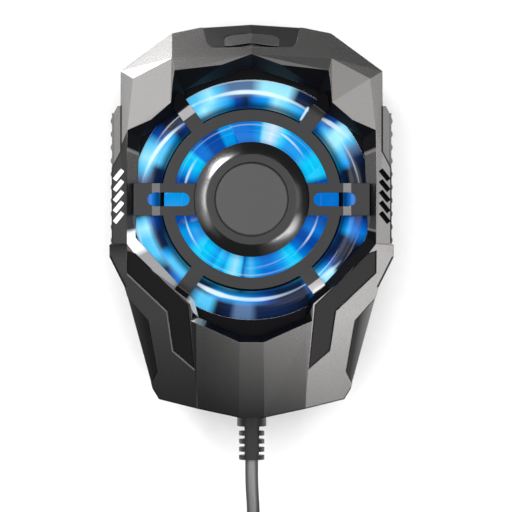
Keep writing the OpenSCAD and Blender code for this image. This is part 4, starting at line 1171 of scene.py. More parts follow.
@dataclass(frozen=True)
class CircuitBoard(Finish):
    """Solder-masked board with tracks and tinned pads.

    Attributes:
        mask: Colour of the solder mask.
        track: Colour over a track.
        pitch: Distance between the tracks.
        wander: Size of their bends.
        spread: Distance between the pads.
        relief: Height of tracks and pads.
    """

    mask: Colour
    track: Colour
    pitch: float = 1.27 * MM
    wander: float = 4 * MM
    spread: float = 2.2 * MM
    relief: float = 0.03 * MM

    TIN = (0.75, 0.74, 0.7)
    # Middle, half width and softness, as shares of the pitch and of the spread
    TRACK_BAND = (0.5, 0.16, 0.05)
    PAD_BAND = (0.0, 0.16, 0.04)

    def build(self) -> bpy.types.Material:
        """Makes the material.

        Returns:
            The material.
        """
        tree = Tree(self.name)
        place = tree.place()
        _, y, _ = tree.axes(place)
        wander = tree.noise(place, self.wander, 1) * (3 * self.pitch)
        rows = abs((y + wander).part(self.pitch) / self.pitch - 0.5).near(*self.TRACK_BAND)
        pads = tree.cells(place, self.spread).near(*self.PAD_BAND)
        base = tree.blended(rows, self.mask, self.track)
        base = tree.blended(pads, base, self.TIN)
        return tree.surface({
            "Base Color": base, "Roughness": 0.42 - rows * 0.08 - pads * 0.1, "Metallic": pads,
            "Normal": tree.bump(rows.most(pads), self.relief),
        })


@dataclass(frozen=True)
class WoundCopper(Finish):
    """Enamelled copper wire laid side by side.

    Attributes:
        tone: Colour.
        wire: Thickness of the wire.
        shade: Factor on the tone between two turns.
        relief: Depth between two turns.
    """

    tone: Colour = (0.72, 0.3, 0.1)
    wire: float = 0.22 * MM
    shade: float = 0.35
    relief: float = 0.08 * MM

    def build(self) -> bpy.types.Material:
        """Makes the material.

        Returns:
            The material.
        """
        tree = Tree(self.name)
        turns = (Polar(tree).radius * (2 * math.pi / self.wire)).sine() * 0.5 + 0.5
        base = tree.blended(turns, scaled(self.tone, self.shade), self.tone)
        return tree.surface({
            "Base Color": base, "Roughness": 0.3, "Metallic": 0.9, "Normal": tree.bump(turns, self.relief),
        })


@dataclass(frozen=True)
class WireSheath(Finish):
    """Sheath of the wires of a pair: red on some bands across, black on the rest.

    Attributes:
        grain: Size of the grain.
        relief: Its depth.
    """

    grain: float = 0.5 * MM
    relief: float = 0.01 * MM

    RED = (0.55, 0.03, 0.03)
    BLACK = (0.02, 0.02, 0.022)
    # Middle, half width and softness of the red bands, in millimetres
    BANDS = ((-21.7, 0.62, 0.02), (0.1, 0.62, 0.02), (4.0, 3.9, 0.1))

    def build(self) -> bpy.types.Material:
        """Makes the material.

        Returns:
            The material.
        """
        tree = Tree(self.name)
        place = tree.place()
        x, _, _ = tree.axes(place)
        red = reduce(Sock.most, [x.near(*(value * MM for value in band)) for band in self.BANDS])
        grain = tree.noise(place, self.grain, 2)
        return tree.surface({
            "Base Color": tree.blended(red, self.BLACK, self.RED), "Roughness": 0.38 + (grain - 0.5) * 0.1,
            "Normal": tree.bump(grain, self.relief),
        })


@dataclass(frozen=True)
class LightGuide(Finish):
    """Edge-lit ring: dark and bright stretches by turns, partly its chips' glow and partly painted
    reflections, with painted highlight streaks.

    Attributes:
        strength: Strength of its light.
        split: Radius at which the outer tones start to take over from the inner ones.
        split_reach: Width over which they do.
        cover: How dark its own colour is beside its light.
        line_share: How far the painted shade line and the painted highlight at a streak's end show.
        haze: Size of the changes of roughness.
    """

    strength: float = 0.95
    split: float = 23.6 * MM
    split_reach: float = 1.3 * MM
    cover: float = 0.85
    line_share: float = 0.85
    haze: float = 3 * MM

    # Glow by angle on the outer and inner parts, partly the chips' light and partly painted reflections
    OUTER = (
        (-180, INK), (-172, INK), (-169, SKY), (-165, ICE), (-159, SKY), (-150, SKY), (-141, NAVY),
        (-133, ROYAL), (-124, NAVY), (-118, SKY), (-112, SKY), (-108, INK), (-101, NAVY), (-98, SLATE),
        (-91, SLATE), (-87, NAVY), (-75, NAVY), (-60, INK), (-51, ROYAL), (-47, ICE), (-42, ICE),
        (-39, NAVY), (-30, INK), (-24, INK), (-17, ROYAL), (-12, DEEP), (-8, INK), (0, INK), (17, INK),
        (22, NAVY), (27, SLATE), (31, SKY), (34, ICE), (39, ICE), (43, DEEP), (48, NAVY), (57, INK),
        (66, NAVY), (71, ICE), (84, ICE), (90, SLATE), (101, SLATE), (108, SKY), (112, ICE), (119, SKY),
        (122, SKY), (130, INK), (139, INK), (146, DEEP), (151, SKY), (158, ICE), (164, SKY),
        (169, SLATE), (174, INK), (180, INK),
    )
    INNER = (
        (-180, ROYAL), (-176, ROYAL), (-173, NAVY), (-168, DEEP), (-160, NAVY), (-152, NAVY),
        (-148, AZURE), (-143, SKY), (-133, SKY), (-128, AZURE), (-124, NAVY), (-116, NAVY),
        (-110, AZURE), (-94, AZURE), (-86, ROYAL), (-80, DEEP), (-74, NAVY), (-60, NAVY), (-55, ROYAL),
        (-50, SKY), (-44, AZURE), (-38, DEEP), (-33, NAVY), (-22, NAVY), (-18, AZURE), (-12, ROYAL),
        (-8, INK), (-5, ROYAL), (0, ROYAL), (5, ROYAL), (8, INK), (17, INK), (21, AZURE), (28, SKY),
        (33, ICE), (38, ICE), (42, SKY), (47, ROYAL), (54, NAVY), (60, AZURE), (68, SKY), (76, ICE),
        (81, AZURE), (88, ROYAL), (93, NAVY), (99, DEEP), (103, AZURE), (110, SKY), (118, ICE),
        (123, SKY), (130, DEEP), (138, NAVY), (142, AZURE), (150, SKY), (158, SKY), (162, NAVY),
        (172, NAVY), (176, ROYAL), (180, ROYAL),
    )
    # Painted highlight streaks, standing in for reflections on the ring
    STREAKS = (
        Streak(88, 34, 24.9, 0.6, 0.42, 0.95), Streak(149, 19, 24.5, 1.0, 0.4, 0.95),
        Streak(-92, 33, 23.2, 0.1, 0.36, 0.75), Streak(-112, 16, 23.2, 0.0, 0.5, 0.9),
        Streak(42, 11, 25.6, -1.2, 0.5, 0.7), Streak(-43, 8, 24.6, 0.5, 0.4, 0.6),
        Streak(22, 18, 25.0, -0.3, 0.1, 0.45), Streak(92, 32, 27.75, 0.0, 0.06, 0.8),
        Streak(-160, 8, 27.4, 0.3, 0.1, 0.6),
    )
    # Middle, half width and softness of the painted shade line at the inner edge and of the painted
    # highlight at a streak's end
    INNER_LINE = (21.4 * MM, 0.4 * MM, 1.2 * MM)
    END_ANGLE = (58.4, 0.4, 0.5)
    END_RADIUS = (23.4 * MM, 1.5 * MM, 0.4 * MM)

    def build(self) -> bpy.types.Material:
        """Makes the material.

        Returns:
            The material.
        """
        tree = Tree(self.name)
        polar = Polar(tree)
        outside = ((polar.radius - self.split) / self.split_reach).share()
        tone = tree.blended(outside, polar.tones(self.INNER), polar.tones(self.OUTER))
        # Painted shade line at the inner edge, then painted highlight streaks and a painted highlight end
        tone = tree.blended(polar.radius.near(*self.INNER_LINE) * self.line_share, tone, INK)
        tone = polar.streaked(tone, self.STREAKS)
        end = polar.degrees.near(*self.END_ANGLE) * polar.radius.near(*self.END_RADIUS)
        tone = tree.blended(end * self.line_share, tone, PALE)
        haze = tree.noise(tree.place(), self.haze, 3)
        return tree.surface({
            "Base Color": tree.blended(self.cover, tone, INK), "Roughness": 0.14 + haze * 0.08,
            "Emission Color": tone, "Emission Strength": self.strength,
            "Coat Weight": 0.3, "Coat Roughness": 0.06,
        })


@dataclass(frozen=True)
class LitBlade(Finish):
    """Clear blue plastic of the fan, lit from its rim, its glow painted by angle, partly painted
    reflections, with painted highlight streaks.

    Attributes:
        strength: Strength of its light.
        root: Radius below which the blades turn darker.
        root_reach: Width over which they do.
        root_share: How dark they turn.
        cover: How dark its own colour is beside its light.
        haze: Size of the cloudy patches.
        haze_share: How far they show.
        gloss: Level of the shine.
    """

    strength: float = 0.95
    root: float = 14.6 * MM
    root_reach: float = 1.6 * MM
    root_share: float = 0.6
    cover: float = 0.88
    haze: float = 2 * MM
    haze_share: float = 0.15
    gloss: float = 0.2

    # Glow by angle, partly the rim's light and partly painted reflections
    TONES = (
        (-180, AZURE), (-173, AZURE), (-169, DEEP), (-163, DEEP), (-155, AZURE), (-145, AZURE),
        (-139, CYAN), (-130, CYAN), (-122, AZURE), (-119, CYAN), (-113, AZURE), (-111, CYAN),
        (-104, ICE), (-99, CYAN), (-97, DEEP), (-95, AZURE), (-91, SKY), (-86, AZURE), (-80, ROYAL),
        (-72, ROYAL), (-64, AZURE), (-58, CYAN), (-51, CYAN), (-47, ROYAL), (-38, DEEP), (-32, DEEP),
        (-26, ROYAL), (-15, DEEP), (-8, ROYAL), (0, ROYAL), (8, ROYAL), (15, DEEP), (20, CYAN),
        (34, CYAN), (42, AZURE), (58, AZURE), (63, CYAN), (68, ICE), (73, PALE), (80, ICE), (83, AZURE),
        (90, ROYAL), (104, ROYAL), (106, AZURE), (114, AZURE), (117, DEEP), (128, DEEP), (133, ROYAL),
        (140, ROYAL), (143, CYAN), (150, CYAN), (157, AZURE), (164, DEEP), (171, DEEP), (175, AZURE),
        (180, AZURE),
    )
    # Painted highlight streaks
    STREAKS = (
        Streak(158, 14, 15.9, 0.0, 0.16, 0.9), Streak(58, 18, 16.5, 0.8, 0.16, 0.9),
        Streak(-30, 17, 15.9, 0.0, 0.14, 0.85), Streak(-152, 14, 16.3, 0.3, 0.14, 0.8),
        Streak(-95, 40, 17.6, 0.0, 0.05, 0.5), Streak(100, 60, 17.6, 0.0, 0.05, 0.5),
        Streak(-75, 20, 15.6, -0.3, 0.05, 0.35),
    )

    def build(self) -> bpy.types.Material:
        """Makes the material.

        Returns:
            The material.
        """
        tree = Tree(self.name)
        polar = Polar(tree)
        root = ((self.root - polar.radius) / self.root_reach).share()
        tone = tree.blended(root * self.root_share, polar.tones(self.TONES), DEEP)
        tone = polar.streaked(tone, self.STREAKS)
        haze = tree.noise(tree.place(), self.haze, 3)
        tone = tree.blended(haze * self.haze_share, tone, ROYAL)
        return tree.surface({
            "Base Color": tree.blended(self.cover, tone, INK), "Roughness": 0.2 + haze * 0.1,
            "Emission Color": tone, "Emission Strength": self.strength,
            "Coat Weight": 0.1, "Coat Roughness": 0.08, "Specular IOR Level": self.gloss,
        })


@dataclass(frozen=True)
class Glow(Finish):
    """Bare light of a chip, whiter in its middle.

    Attributes:
        tone: Colour.
        strength: Strength of the light.
    """

    tone: Colour
    strength: float = 6.0

    WHITE = (0.9, 0.97, 1.0)
    # Middle, half width and softness of the whiter part, from the fan's axis
    CORE = (24.6 * MM, 0.2 * MM, 0.5 * MM)

    def build(self) -> bpy.types.Material:
        """Makes the material.

        Returns:
            The material.
        """
        tree = Tree(self.name)
        tone = tree.blended(Polar(tree).radius.near(*self.CORE), self.tone, self.WHITE)
        return tree.surface({
            "Base Color": tone, "Roughness": 0.3, "Emission Color": tone, "Emission Strength": self.strength,
        })


@dataclass(frozen=True)
class Pellets(Finish):
    """Dark sintered blocks with soldered ends.

    Attributes:
        grain: Size of the grain.
        relief: Its depth.
    """

    grain: float = 0.3 * MM
    relief: float = 0.02 * MM

    DARK = (0.16, 0.16, 0.18)
    SOLDER = (0.7, 0.69, 0.66)
    # Middle, half height and softness of the dark part
    BLOCK = (15.0 * MM, 0.75 * MM, 0.05 * MM)

    def build(self) -> bpy.types.Material:
        """Makes the material.

        Returns:
            The material.
        """
        tree = Tree(self.name)
        place = tree.place()
        ends = 1 - tree.axes(place)[2].near(*self.BLOCK)
        grain = tree.noise(place, self.grain, 3)
        return tree.surface({
            "Base Color": tree.blended(ends, self.DARK, self.SOLDER), "Roughness": 0.55 - ends * 0.2,
            "Metallic": 0.8, "Normal": tree.bump(grain, self.relief),
        })


FINISHES: dict[str, Finish] = {finish.name: finish for finish in (
    CoverMetal("gunmetal_shell", (0.40, 0.39, 0.385), rough=0.28, relief=0.0003 * MM),
    GuardMetal("gunmetal_guard", (0.105, 0.104, 0.107), rough=0.3),
    InlayMetal("dark_inlay", (0.043, 0.042, 0.042), rough=0.3),
    TrimMetal("bright_trim", (0.62, 0.61, 0.61), rough=0.22, relief=0.001 * MM),
    MouldedPlastic("black_shell", (0.004, 0.004, 0.005), rough=0.6, gloss=0.05),
    SatinMetal("arm_plastic", (0.40, 0.39, 0.385)),
    SoftRubber("soft_grip", (0.12, 0.118, 0.116), rough=0.5),
    MouldedPlastic("white_gear", (0.8, 0.78, 0.7), rough=0.4, edge=1.1),
    LightGuide("light_guide"),
    LitBlade("clear_blade"),
    Glow("led", (0.25, 0.75, 1.0)),
    CircuitBoard("white_board", (0.8, 0.8, 0.78), (0.7, 0.7, 0.66)),
    CircuitBoard("green_board", (0.015, 0.14, 0.05), (0.03, 0.22, 0.09)),
    MouldedPlastic("board_component", (0.03, 0.03, 0.035), rough=0.35, edge=2.0),
    BrushedMetal("laminated_steel", (0.5, 0.5, 0.52), along=(1.0, 1.0, 12.0)),
    WoundCopper("copper_wire"),
    BrushedMetal("bearing_brass", (0.75, 0.55, 0.24), along=(1.0, 1.0, 6.0)),
    MouldedPlastic("bonded_magnet", (0.09, 0.09, 0.1), rough=0.5, edge=1.2),
    BrushedMetal("steel", (0.62, 0.62, 0.64), along=(8.0, 1.0, 1.0)),
    SatinMetal("black_steel", (0.07, 0.07, 0.075), metal=0.9, rough=0.35),
    BrushedMetal("bare_aluminium", (0.76, 0.77, 0.79), along=(30.0, 1.0, 30.0)),
    MouldedPlastic("white_ceramic", (0.86, 0.86, 0.83), rough=0.5, edge=1.0),
    Pellets("pellet"),
    SoftRubber("grey_pad", (0.16, 0.19, 0.24), rough=0.62, grain=0.35 * MM),
    WireSheath("wire_sheath"),
    GlossySheath("cable_sheath", (0.008, 0.008, 0.009), (0.26, 0.26, 0.265)),
    SoftRubber("tie_plastic", (0.02, 0.02, 0.022), rough=0.85, grain=0.5 * MM),
    MouldedPlastic("plug_plastic", (0.015, 0.015, 0.016), rough=0.4),
    BrushedMetal("plug_steel", (0.7, 0.7, 0.71), along=(40.0, 2.0, 40.0), rough=0.24, relief=0.0006 * MM),
    MouldedPlastic("plug_insulator", (0.75, 0.76, 0.76), rough=0.35, edge=1.0),
)}


# Meshes


def linked(name: str, data: Any) -> bpy.types.Object:
    """Adds an object to the scene.

    Args:
        name: Its name.
        data: The mesh, curve, light or camera that it shows.

    Returns:
        The object.
    """
    made = bpy.data.objects.new(name, data)
    bpy.context.scene.collection.objects.link(made)
    return made


@dataclass
class Workshop:
    """Turns meshes into finished pieces of the frame.

    Attributes:
        frame: What the frame's loader gives.
        made: Materials built so far, by slot.
    """

    # Bend in degrees below which two faces are one flat, and pull of the large faces on the shading
    FLAT_BEND = 1.0
    FACE_PULL = 80

    frame: dict
    made: dict[str, bpy.types.Material] = field(default_factory=dict)

    def finish(self, slot: str) -> bpy.types.Material:
        """Material of a slot, built once.

        Args:
            slot: Name of the slot.

        Returns:
            The material.
        """
        if slot not in self.made:
            self.made[slot] = FINISHES[slot].build()
        return self.made[slot]

    def slots(self) -> dict[str, str]:
        """Slot of each CAD node, from the record."""
        return {part["node"]: part["material_slot"] for part in self.frame["record"]["subparts"]}

    def dress_nodes(self) -> None:
        """Gives every CAD node the finish of its slot."""
        for node, slot in self.slots().items():
            mesh = self.frame["nodes"][node].data
            mesh.materials.clear()
            mesh.materials.append(self.finish(slot))
        LOG.info("dressed %d CAD nodes", len(self.slots()))

    def piece(
        self, name: str, mesh: bpy.types.Mesh, slot: str, body: Body,
        replaces: Sequence[str] = (), crease: float = 40.0, weighted: bool = True,
    ) -> bpy.types.Object:
        """Makes a mesh a piece of the object.

        Args:
            name: Name of the piece.
            mesh: Its mesh, in place.
            slot: Material slot of the record.
            body: Body that it rides on.
            replaces: CAD nodes that it stands for.
            crease: Angle in degrees above which an edge stays sharp.
            weighted: Whether large faces keep their own shading.

        Returns:
            The object.
        """
        mesh.name = name
        mesh.materials.clear()
        mesh.materials.append(self.finish(slot))
        mesh.polygons.foreach_set("use_smooth", [True] * len(mesh.polygons))
        mesh.set_sharp_from_angle(angle=math.radians(crease))
        made = linked(name, mesh)
        if weighted:
            modifier = made.modifiers.new("weighted", "WEIGHTED_NORMAL")
            modifier.keep_sharp = True
            modifier.weight = self.FACE_PULL
        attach(made, body.value)
        if replaces:
            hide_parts(*replaces)
        LOG.info("piece %s: %d faces", name, len(mesh.polygons))
        return made

    def copied(self, node: str, whole: bool = True) -> bmesh.types.BMesh:
        """A CAD node's mesh, merged.

        Args:
            node: The CAD node.
            whole: Whether its triangles are joined into flats.

        Returns:
            The copy.
        """
        work = bmesh.new()
        work.from_mesh(self.frame["nodes"][node].data)
        bmesh.ops.remove_doubles(work, verts=work.verts, dist=WELD)
        if whole:
            bmesh.ops.dissolve_limit(
                work, angle_limit=math.radians(self.FLAT_BEND), verts=work.verts, edges=work.edges,
                delimit=set(),
            )
        return work

    def softened(
        self, name: str, node: str, body: Body, width: float,
        least: float = 0.9 * MM, bend: float = 30.0, segments: int = 2,
    ) -> bpy.types.Object:
        """Stands for a CAD node with its creases rounded.

        Args:
            name: Name of the piece.
            node: The CAD node.
            body: Body that it rides on.
            width: Width of the rounding in metres.
            least: Length below which an edge is left as it is.
            bend: Angle in degrees below which an edge is left as it is.
            segments: Flats across the rounding.

        Returns:
            The object.
        """
        work = self.copied(node)
        round_creases(work, width, least, bend, segments)
        return self.piece(name, as_mesh(work, name), self.slots()[node], body, [node])


def round_creases(
    work: bmesh.types.BMesh, width: float, least: float, bend: float, segments: int
) -> None:
    """Bevels the creases of a mesh.

    Args:
        work: The mesh.
        width: Width of the rounding in metres.
        least: Length below which an edge is left as it is.
        bend: Angle in degrees below which an edge is left as it is.
        segments: Flats across the rounding.
    """
    creases = [
        edge for edge in work.edges
        if edge.is_manifold and edge.calc_length() > least and edge.calc_face_angle(0.0) > math.radians(bend)
    ]
    bmesh.ops.bevel(
        work, geom=creases, offset=width, affect="EDGES", segments=segments, profile=0.5, material=-1,
        clamp_overlap=False,
    )


def as_mesh(work: bmesh.types.BMesh, name: str) -> bpy.types.Mesh:
    """Turns a bmesh into a mesh and frees it.

    Args:
        work: The bmesh.
        name: Name of the mesh.

    Returns:
        The mesh.
    """
    mesh = bpy.data.meshes.new(name)
    work.to_mesh(mesh)
    work.free()
    return mesh


def turned(outline: Sequence[Spot], steps: int) -> bmesh.types.BMesh:
    """Spins a closed outline about the fan's axis.

    Args:
        outline: Points as radius and height in millimetres.
        steps: Number of steps round the axis.

    Returns:
        The mesh, with its faces outward.
    """
    work = bmesh.new()
    points = [work.verts.new((radius * MM, FAN_Y, height * MM)) for radius, height in outline]
    for first, second in zip(points, [*points[1:], points[0]]):
        work.edges.new((first, second))
    bmesh.ops.spin(
        work, geom=[*work.verts, *work.edges], cent=(0, FAN_Y, 0), axis=(0, 0, 1), angle=2 * math.pi,
        steps=steps, use_merge=True, use_duplicate=False,
    )
    bmesh.ops.remove_doubles(work, verts=work.verts, dist=WELD / 2)
    bmesh.ops.recalc_face_normals(work, faces=work.faces)
    return work


def arc(centre: Spot, radius: float, start: float, end: float, steps: int) -> list[Spot]:
    """Points on an arc.

    Args:
        centre: Its centre.
        radius: Its radius.
        start: Angle of its first point, in degrees.
        end: Angle of its last point.
        steps: Number of stretches between the two.

    Returns:
        The points, both ends among them.
    """
    angles = [math.radians(start + (end - start) * k / steps) for k in range(steps + 1)]
    return [(centre[0] + radius * math.cos(angle), centre[1] + radius * math.sin(angle)) for angle in angles]


def wire(name: str, points: Sequence[Point], radius: float, flats: int) -> bpy.types.Curve:
    """A round wire as a curve.

    Args:
        name: Name of the curve.
        points: Its middle line, in metres.
        radius: Its radius in metres.
        flats: How finely its roundness is cut.

    Returns:
        The curve.
    """
    curve = bpy.data.curves.new(name, "CURVE")
    curve.dimensions = "3D"
    curve.bevel_depth = radius
    curve.bevel_resolution = flats
    curve.use_fill_caps = True
    spline = curve.splines.new("POLY")
    spline.points.add(len(points) - 1)
    for target, point in zip(spline.points, points):
        target.co = (*point, 1.0)
    return curve


def swept(name: str, points: Sequence[Point], radius: float, flats: int) -> bpy.types.Mesh:
    """A round wire as a mesh.

    Args:
        name: Name of the wire.
        points: Its middle line, in metres.
        radius: Its radius in metres.
        flats: How finely its roundness is cut.

    Returns:
        The mesh.
    """
    holder = linked(name, wire(name, points, radius, flats))
    bpy.context.view_layer.update()
    mesh = bpy.data.meshes.new_from_object(holder.evaluated_get(bpy.context.evaluated_depsgraph_get()))
    bpy.data.objects.remove(holder)
    return mesh


def smoothed(points: Sequence[Point], steps: int) -> list[Point]:
    """A smooth line through points.

    Args:
        points: The points.
        steps: Number of stretches between each two.

    Returns:
        The points of the line.
    """
    row = [Vector(point) for point in points]
    result = []
    for index in range(len(row) - 1):
        before = row[max(index - 1, 0)]
        first, second = row[index], row[index + 1]
        after = row[min(index + 2, len(row) - 1)]
        for step in range(steps):
            t = step / steps
            result.append(tuple(0.5 * (
                2 * first + (second - before) * t + (2 * before - 5 * first + 4 * second - after) * t * t
                + (3 * first - before - 3 * second + after) * t * t * t
            )))
    result.append(tuple(row[-1]))
    return result


# Sub-assemblies


@dataclass(frozen=True)
class Softbox:
    """A rectangular light that shines straight down.

    Attributes:
        name: Its name.
        place: Its middle, in metres.
        width: Its size across.
        height: Its size along.
        light: Light per area.
        shown: Whether gloss shows it.
    """

    name: str
    place: Point
    width: float
    height: float
    light: float
    shown: bool = True

    def build(self) -> None:
        """Adds the light."""
        data = bpy.data.lights.new(self.name, "AREA")
        data.shape = "RECTANGLE"
        data.size = self.width
        data.size_y = self.height
        data.energy = self.light * math.pi * self.width * self.height
        lamp = linked(self.name, data)
        lamp.location = self.place
        lamp.visible_glossy = self.shown
        lamp.visible_camera = False


@dataclass
class Studio:
    """Camera, lights and floor.

    Attributes:
        centre: Middle of the picture.
        width: Width that the picture shows.
        lens: Focal length of the lens, in millimetres.
        sensor: Width of the sensor, in millimetres.
        near: Distance from which the camera sees.
        floor: Width of the floor.
        floor_drop: How far it lies below the object.
        room_light: Strength of the light from all around.
    """

    centre: Point = (1.02 * MM, -7.99 * MM, 32 * MM)
    width: float = 118.6 * MM
    lens: float = 180.0
    sensor: float = 36.0
    near: float = 0.01
    floor: float = 6.0
    floor_drop: float = 0.2 * MM
    room_light: float = 0.10

    ROOM_TONE = (0.98, 0.99, 1.0, 1.0)
    FLOOR_TONES = ((0.86, 0.86, 0.86), (0.9, 0.9, 0.9))
    LIGHTS = (
        Softbox("key", (-0.31, 0.35, 0.50), 0.20, 0.20, 9.0),
        Softbox("left", (-0.31, 0.04, 0.50), 0.42, 0.26, 1.25),
        Softbox("right", (0.31, 0.04, 0.50), 0.42, 0.24, 0.95),
        Softbox("overhead", (0.0, 0.02, 0.51), 0.22, 0.24, 0.5),
        Softbox("left_low", (-0.47, -0.27, 0.50), 0.26, 0.26, 0.42),
        Softbox("right_low", (0.47, -0.27, 0.50), 0.26, 0.26, 1.85),
        Softbox("top", (0.13, 0.33, 0.50), 0.24, 0.16, 0.25),
        Softbox("block", (0.11, -0.17, 0.50), 0.14, 0.12, 0.85),
        Softbox("fold", (0.24, -0.31, 0.50), 0.10, 0.10, 3.5),
        Softbox("wash", (0.0, 0.0, 1.2), 1.6, 1.6, 3.4, shown=False),
    )

    def build(self) -> None:
        """Sets everything up."""
        self._camera()
        for light in self.LIGHTS:
            light.build()
        self._world()
        self._floor()
        bpy.context.scene.view_settings.view_transform = "Standard"
        LOG.info("studio ready")

    def _camera(self) -> None:
        """Long lens straight above the fan's face."""
        data = bpy.data.cameras.new("camera")
        data.lens = self.lens
        data.sensor_width = self.sensor
        data.clip_start = self.near
        camera = linked("camera", data)
        away = self.width * self.lens / self.sensor
        camera.location = Vector(self.centre) + Vector((0, 0, away))
        bpy.context.scene.camera = camera

    def _world(self) -> None:
        """Even dim light from all around."""
        world = bpy.data.worlds.new("room")
        world.use_nodes = True
        back = world.node_tree.nodes["Background"]
        back.inputs["Color"].default_value = self.ROOM_TONE
        back.inputs["Strength"].default_value = self.room_light
        bpy.context.scene.world = world

    def _floor(self) -> None:
        """Plain pale floor."""
        work = bmesh.new()
        bmesh.ops.create_grid(work, x_segments=1, y_segments=1, size=self.floor / 2)
        mesh = as_mesh(work, "floor")
        tree = Tree("floor_paint")
        grain = tree.noise(tree.place(), 2 * MM, 2)
        mesh.materials.append(tree.surface({
            "Base Color": tree.blended(grain, *self.FLOOR_TONES), "Roughness": 0.9,
        }))
        floor = linked("floor", mesh)
        floor.location = (0, 0, -self.floor_drop)


@dataclass
class Cable:
    """Free cable: stretch in the air, coil of spare length, tie and plug. Lengths are in millimetres.

    Attributes:
        diameter: Thickness of the cable.
        turns: Number of turns of the coil.
        layers: Number of its layers.
        coil_radius: Radius of its outer turn.
        pitch: Distance between two turns and between two layers.
        low: Height of its lowest turn.
        tail: Length from the coil to the plug.
        plug_height: Height of the cable in the plug.
        steps: Points in a turn.
        free_steps: Points between two of the free stretch.
        tail_steps: Points in the tail.
        flats: How finely the roundness is cut.
        bead: Width of the softened edges of the tie and the relief.
        relief_least: Length below which the relief's edges aren't softened.
        grip_edge: Width of the softened edges of the plug's grip.
        shell_edge: The same of its shell.
        strips: Places of the plug's contacts across.
        strip_start: How far a contact's middle is from the tongue's end.
        strip_size: Width, length and thickness of a contact.
        strip_edge: Width of its softened edges.
    """

    diameter: float = 3.1
    turns: int = 10
    layers: int = 4
    coil_radius: float = 22.2
    pitch: float = 3.65
    low: float = 2.1
    tail: float = 14.0
    plug_height: float = 3.6
    steps: int = 32
    free_steps: int = 3
    tail_steps: int = 8
    flats: int = 5
    bead: float = 0.22
    relief_least: float = 0.5
    grip_edge: float = 0.35
    shell_edge: float = 0.08
    strips: tuple[float, ...] = (-3.5, -1.0, 1.0, 3.5)
    strip_start: float = 4.6
    strip_size: Point = (1.0, 7.0, 0.12)
    strip_edge: float = 0.04

    FREE = (
        (0, -56, 20.5), (0, -59.5, 20.5), (0.1, -63, 20.2), (0.3, -66.5, 19.5),
        (0.4, -70, 18.5), (0.5, -73.5, 17.3), (0.6, -77, 16), (0.8, -80.5, 14.8),
        (0.9, -84, 13.9), (1, -87.5, 13.3), (1, -91, 13.05), (1, -94, 13.05),
    )

    def build(self, shop: Workshop) -> None:
        """Makes the cable and what hangs on it.

        Args:
            shop: Where the pieces are finished.
        """
        route = [tuple(value * MM for value in point) for point in self.route()]
        curve = wire("cable", route, self.diameter / 2 * MM, self.flats)
        curve.materials.append(shop.finish("cable_sheath"))
        cable = linked("cable", curve)
        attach(cable, Body.HOUSING.value)
        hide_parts("power_cable", "cable_coil")
        tie = shop.softened("coil_strap", "cable_tie", Body.HOUSING, self.bead * MM, segments=3)
        plug = shop.softened("plug_grip", "usb_plug_body", Body.HOUSING, self.grip_edge * MM)
        shell = shop.softened("plug_shell", "usb_plug_shell", Body.HOUSING, self.shell_edge * MM)
        contacts = self._contacts(shop)
        relief = self._relief(shop)

    def route(self) -> list[Point]:
        """Centre line of the whole cable.

        Returns:
            Its points, in millimetres.
        """
        start = self.FREE[-1]
        centre = (start[0] + self.coil_radius, start[1] - self.diameter)
        count = self.turns * self.steps
        coil = [self._coil_point(centre, index / self.steps) for index in range(count + 1)]
        tail = []
        for index in range(1, self.tail_steps + 1):
            u = index / self.tail_steps
            height = self.low + (self.plug_height - self.low) * u * u * (3 - 2 * u)
            tail.append((start[0], centre[1] - self.tail * u, height))
        end = (start[0], centre[1] - self.tail - self.diameter, self.plug_height)
        return smoothed(self.FREE, self.free_steps) + coil + tail + [end]

    def _coil_point(self, centre: Spot, t: float) -> Point:
        """Point of the coil, which winds inward and outward by turns as it goes down.

        Args:
            centre: Centre of the coil.
            t: Number of turns so far.

        Returns:
            The point.
        """
        per_layer = self.turns / self.layers
        half = 2 * per_layer
        drawn = t - half * math.floor(t / half)
        drawn = drawn if drawn < per_layer else half - drawn
        radius = self.coil_radius - self.pitch * drawn
        level = self.layers - 1 - sum(
            max(0.0, min(1.0, (t - k * per_layer) * 2 + 0.5)) for k in range(1, self.layers)
        )
        angle = math.pi + 2 * math.pi * t
        return (
            centre[0] + radius * math.cos(angle),
            centre[1] + radius * math.sin(angle),
            self.low + self.pitch * level,
        )

    def _relief(self, shop: Workshop) -> bpy.types.Object:
        """Ribbed strain relief.

        Args:
            shop: Where it is finished.

        Returns:
            The relief.
        """
        relief = shop.softened(
            "ribbed_relief", "strain_relief", Body.HOUSING, self.bead * MM, least=self.relief_least * MM
        )
        relief.data.materials[0] = shop.finish("plug_plastic")
        return relief

    def _contacts(self, shop: Workshop) -> bpy.types.Object:
        """Contact strips on the plug's tongue.

        Args:
            shop: Where they are finished.

        Returns:
            The strips, as one object.
        """
        low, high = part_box("usb_plug_tongue")
        edge = self.strip_edge * MM
        scale = Matrix.Diagonal((*(side * MM for side in self.strip_size), 1.0))
        work = bmesh.new()
        for offset in self.strips:
            across = (low[0] + high[0]) / 2 + offset * MM
            middle = Vector((across, low[1] + self.strip_start * MM, high[2] + edge))
            bmesh.ops.create_cube(work, size=1.0, matrix=Matrix.Translation(middle) @ scale)
        bmesh.ops.bevel(
            work, geom=list(work.edges), offset=edge, affect="EDGES", segments=2, profile=0.5, material=-1
        )
        return shop.piece("plug_contacts", as_mesh(work, "plug_contacts"), "bearing_brass", Body.HOUSING)


@dataclass(frozen=True)
class Fold:
    """Fold across an arm or a spoke of the guard.

    Attributes:
        angle: Direction of the arm, in degrees.
        start: Distance from the axis at which the fold starts.
        end: Distance at which it ends.
        shine: Share of the painted highlight on it.
    """

    angle: int
    start: float
    end: float
    shine: float

    def direction(self) -> Vector:
        """Direction of the arm."""
        return Vector((math.cos(math.radians(self.angle)), math.sin(math.radians(self.angle)), 0))


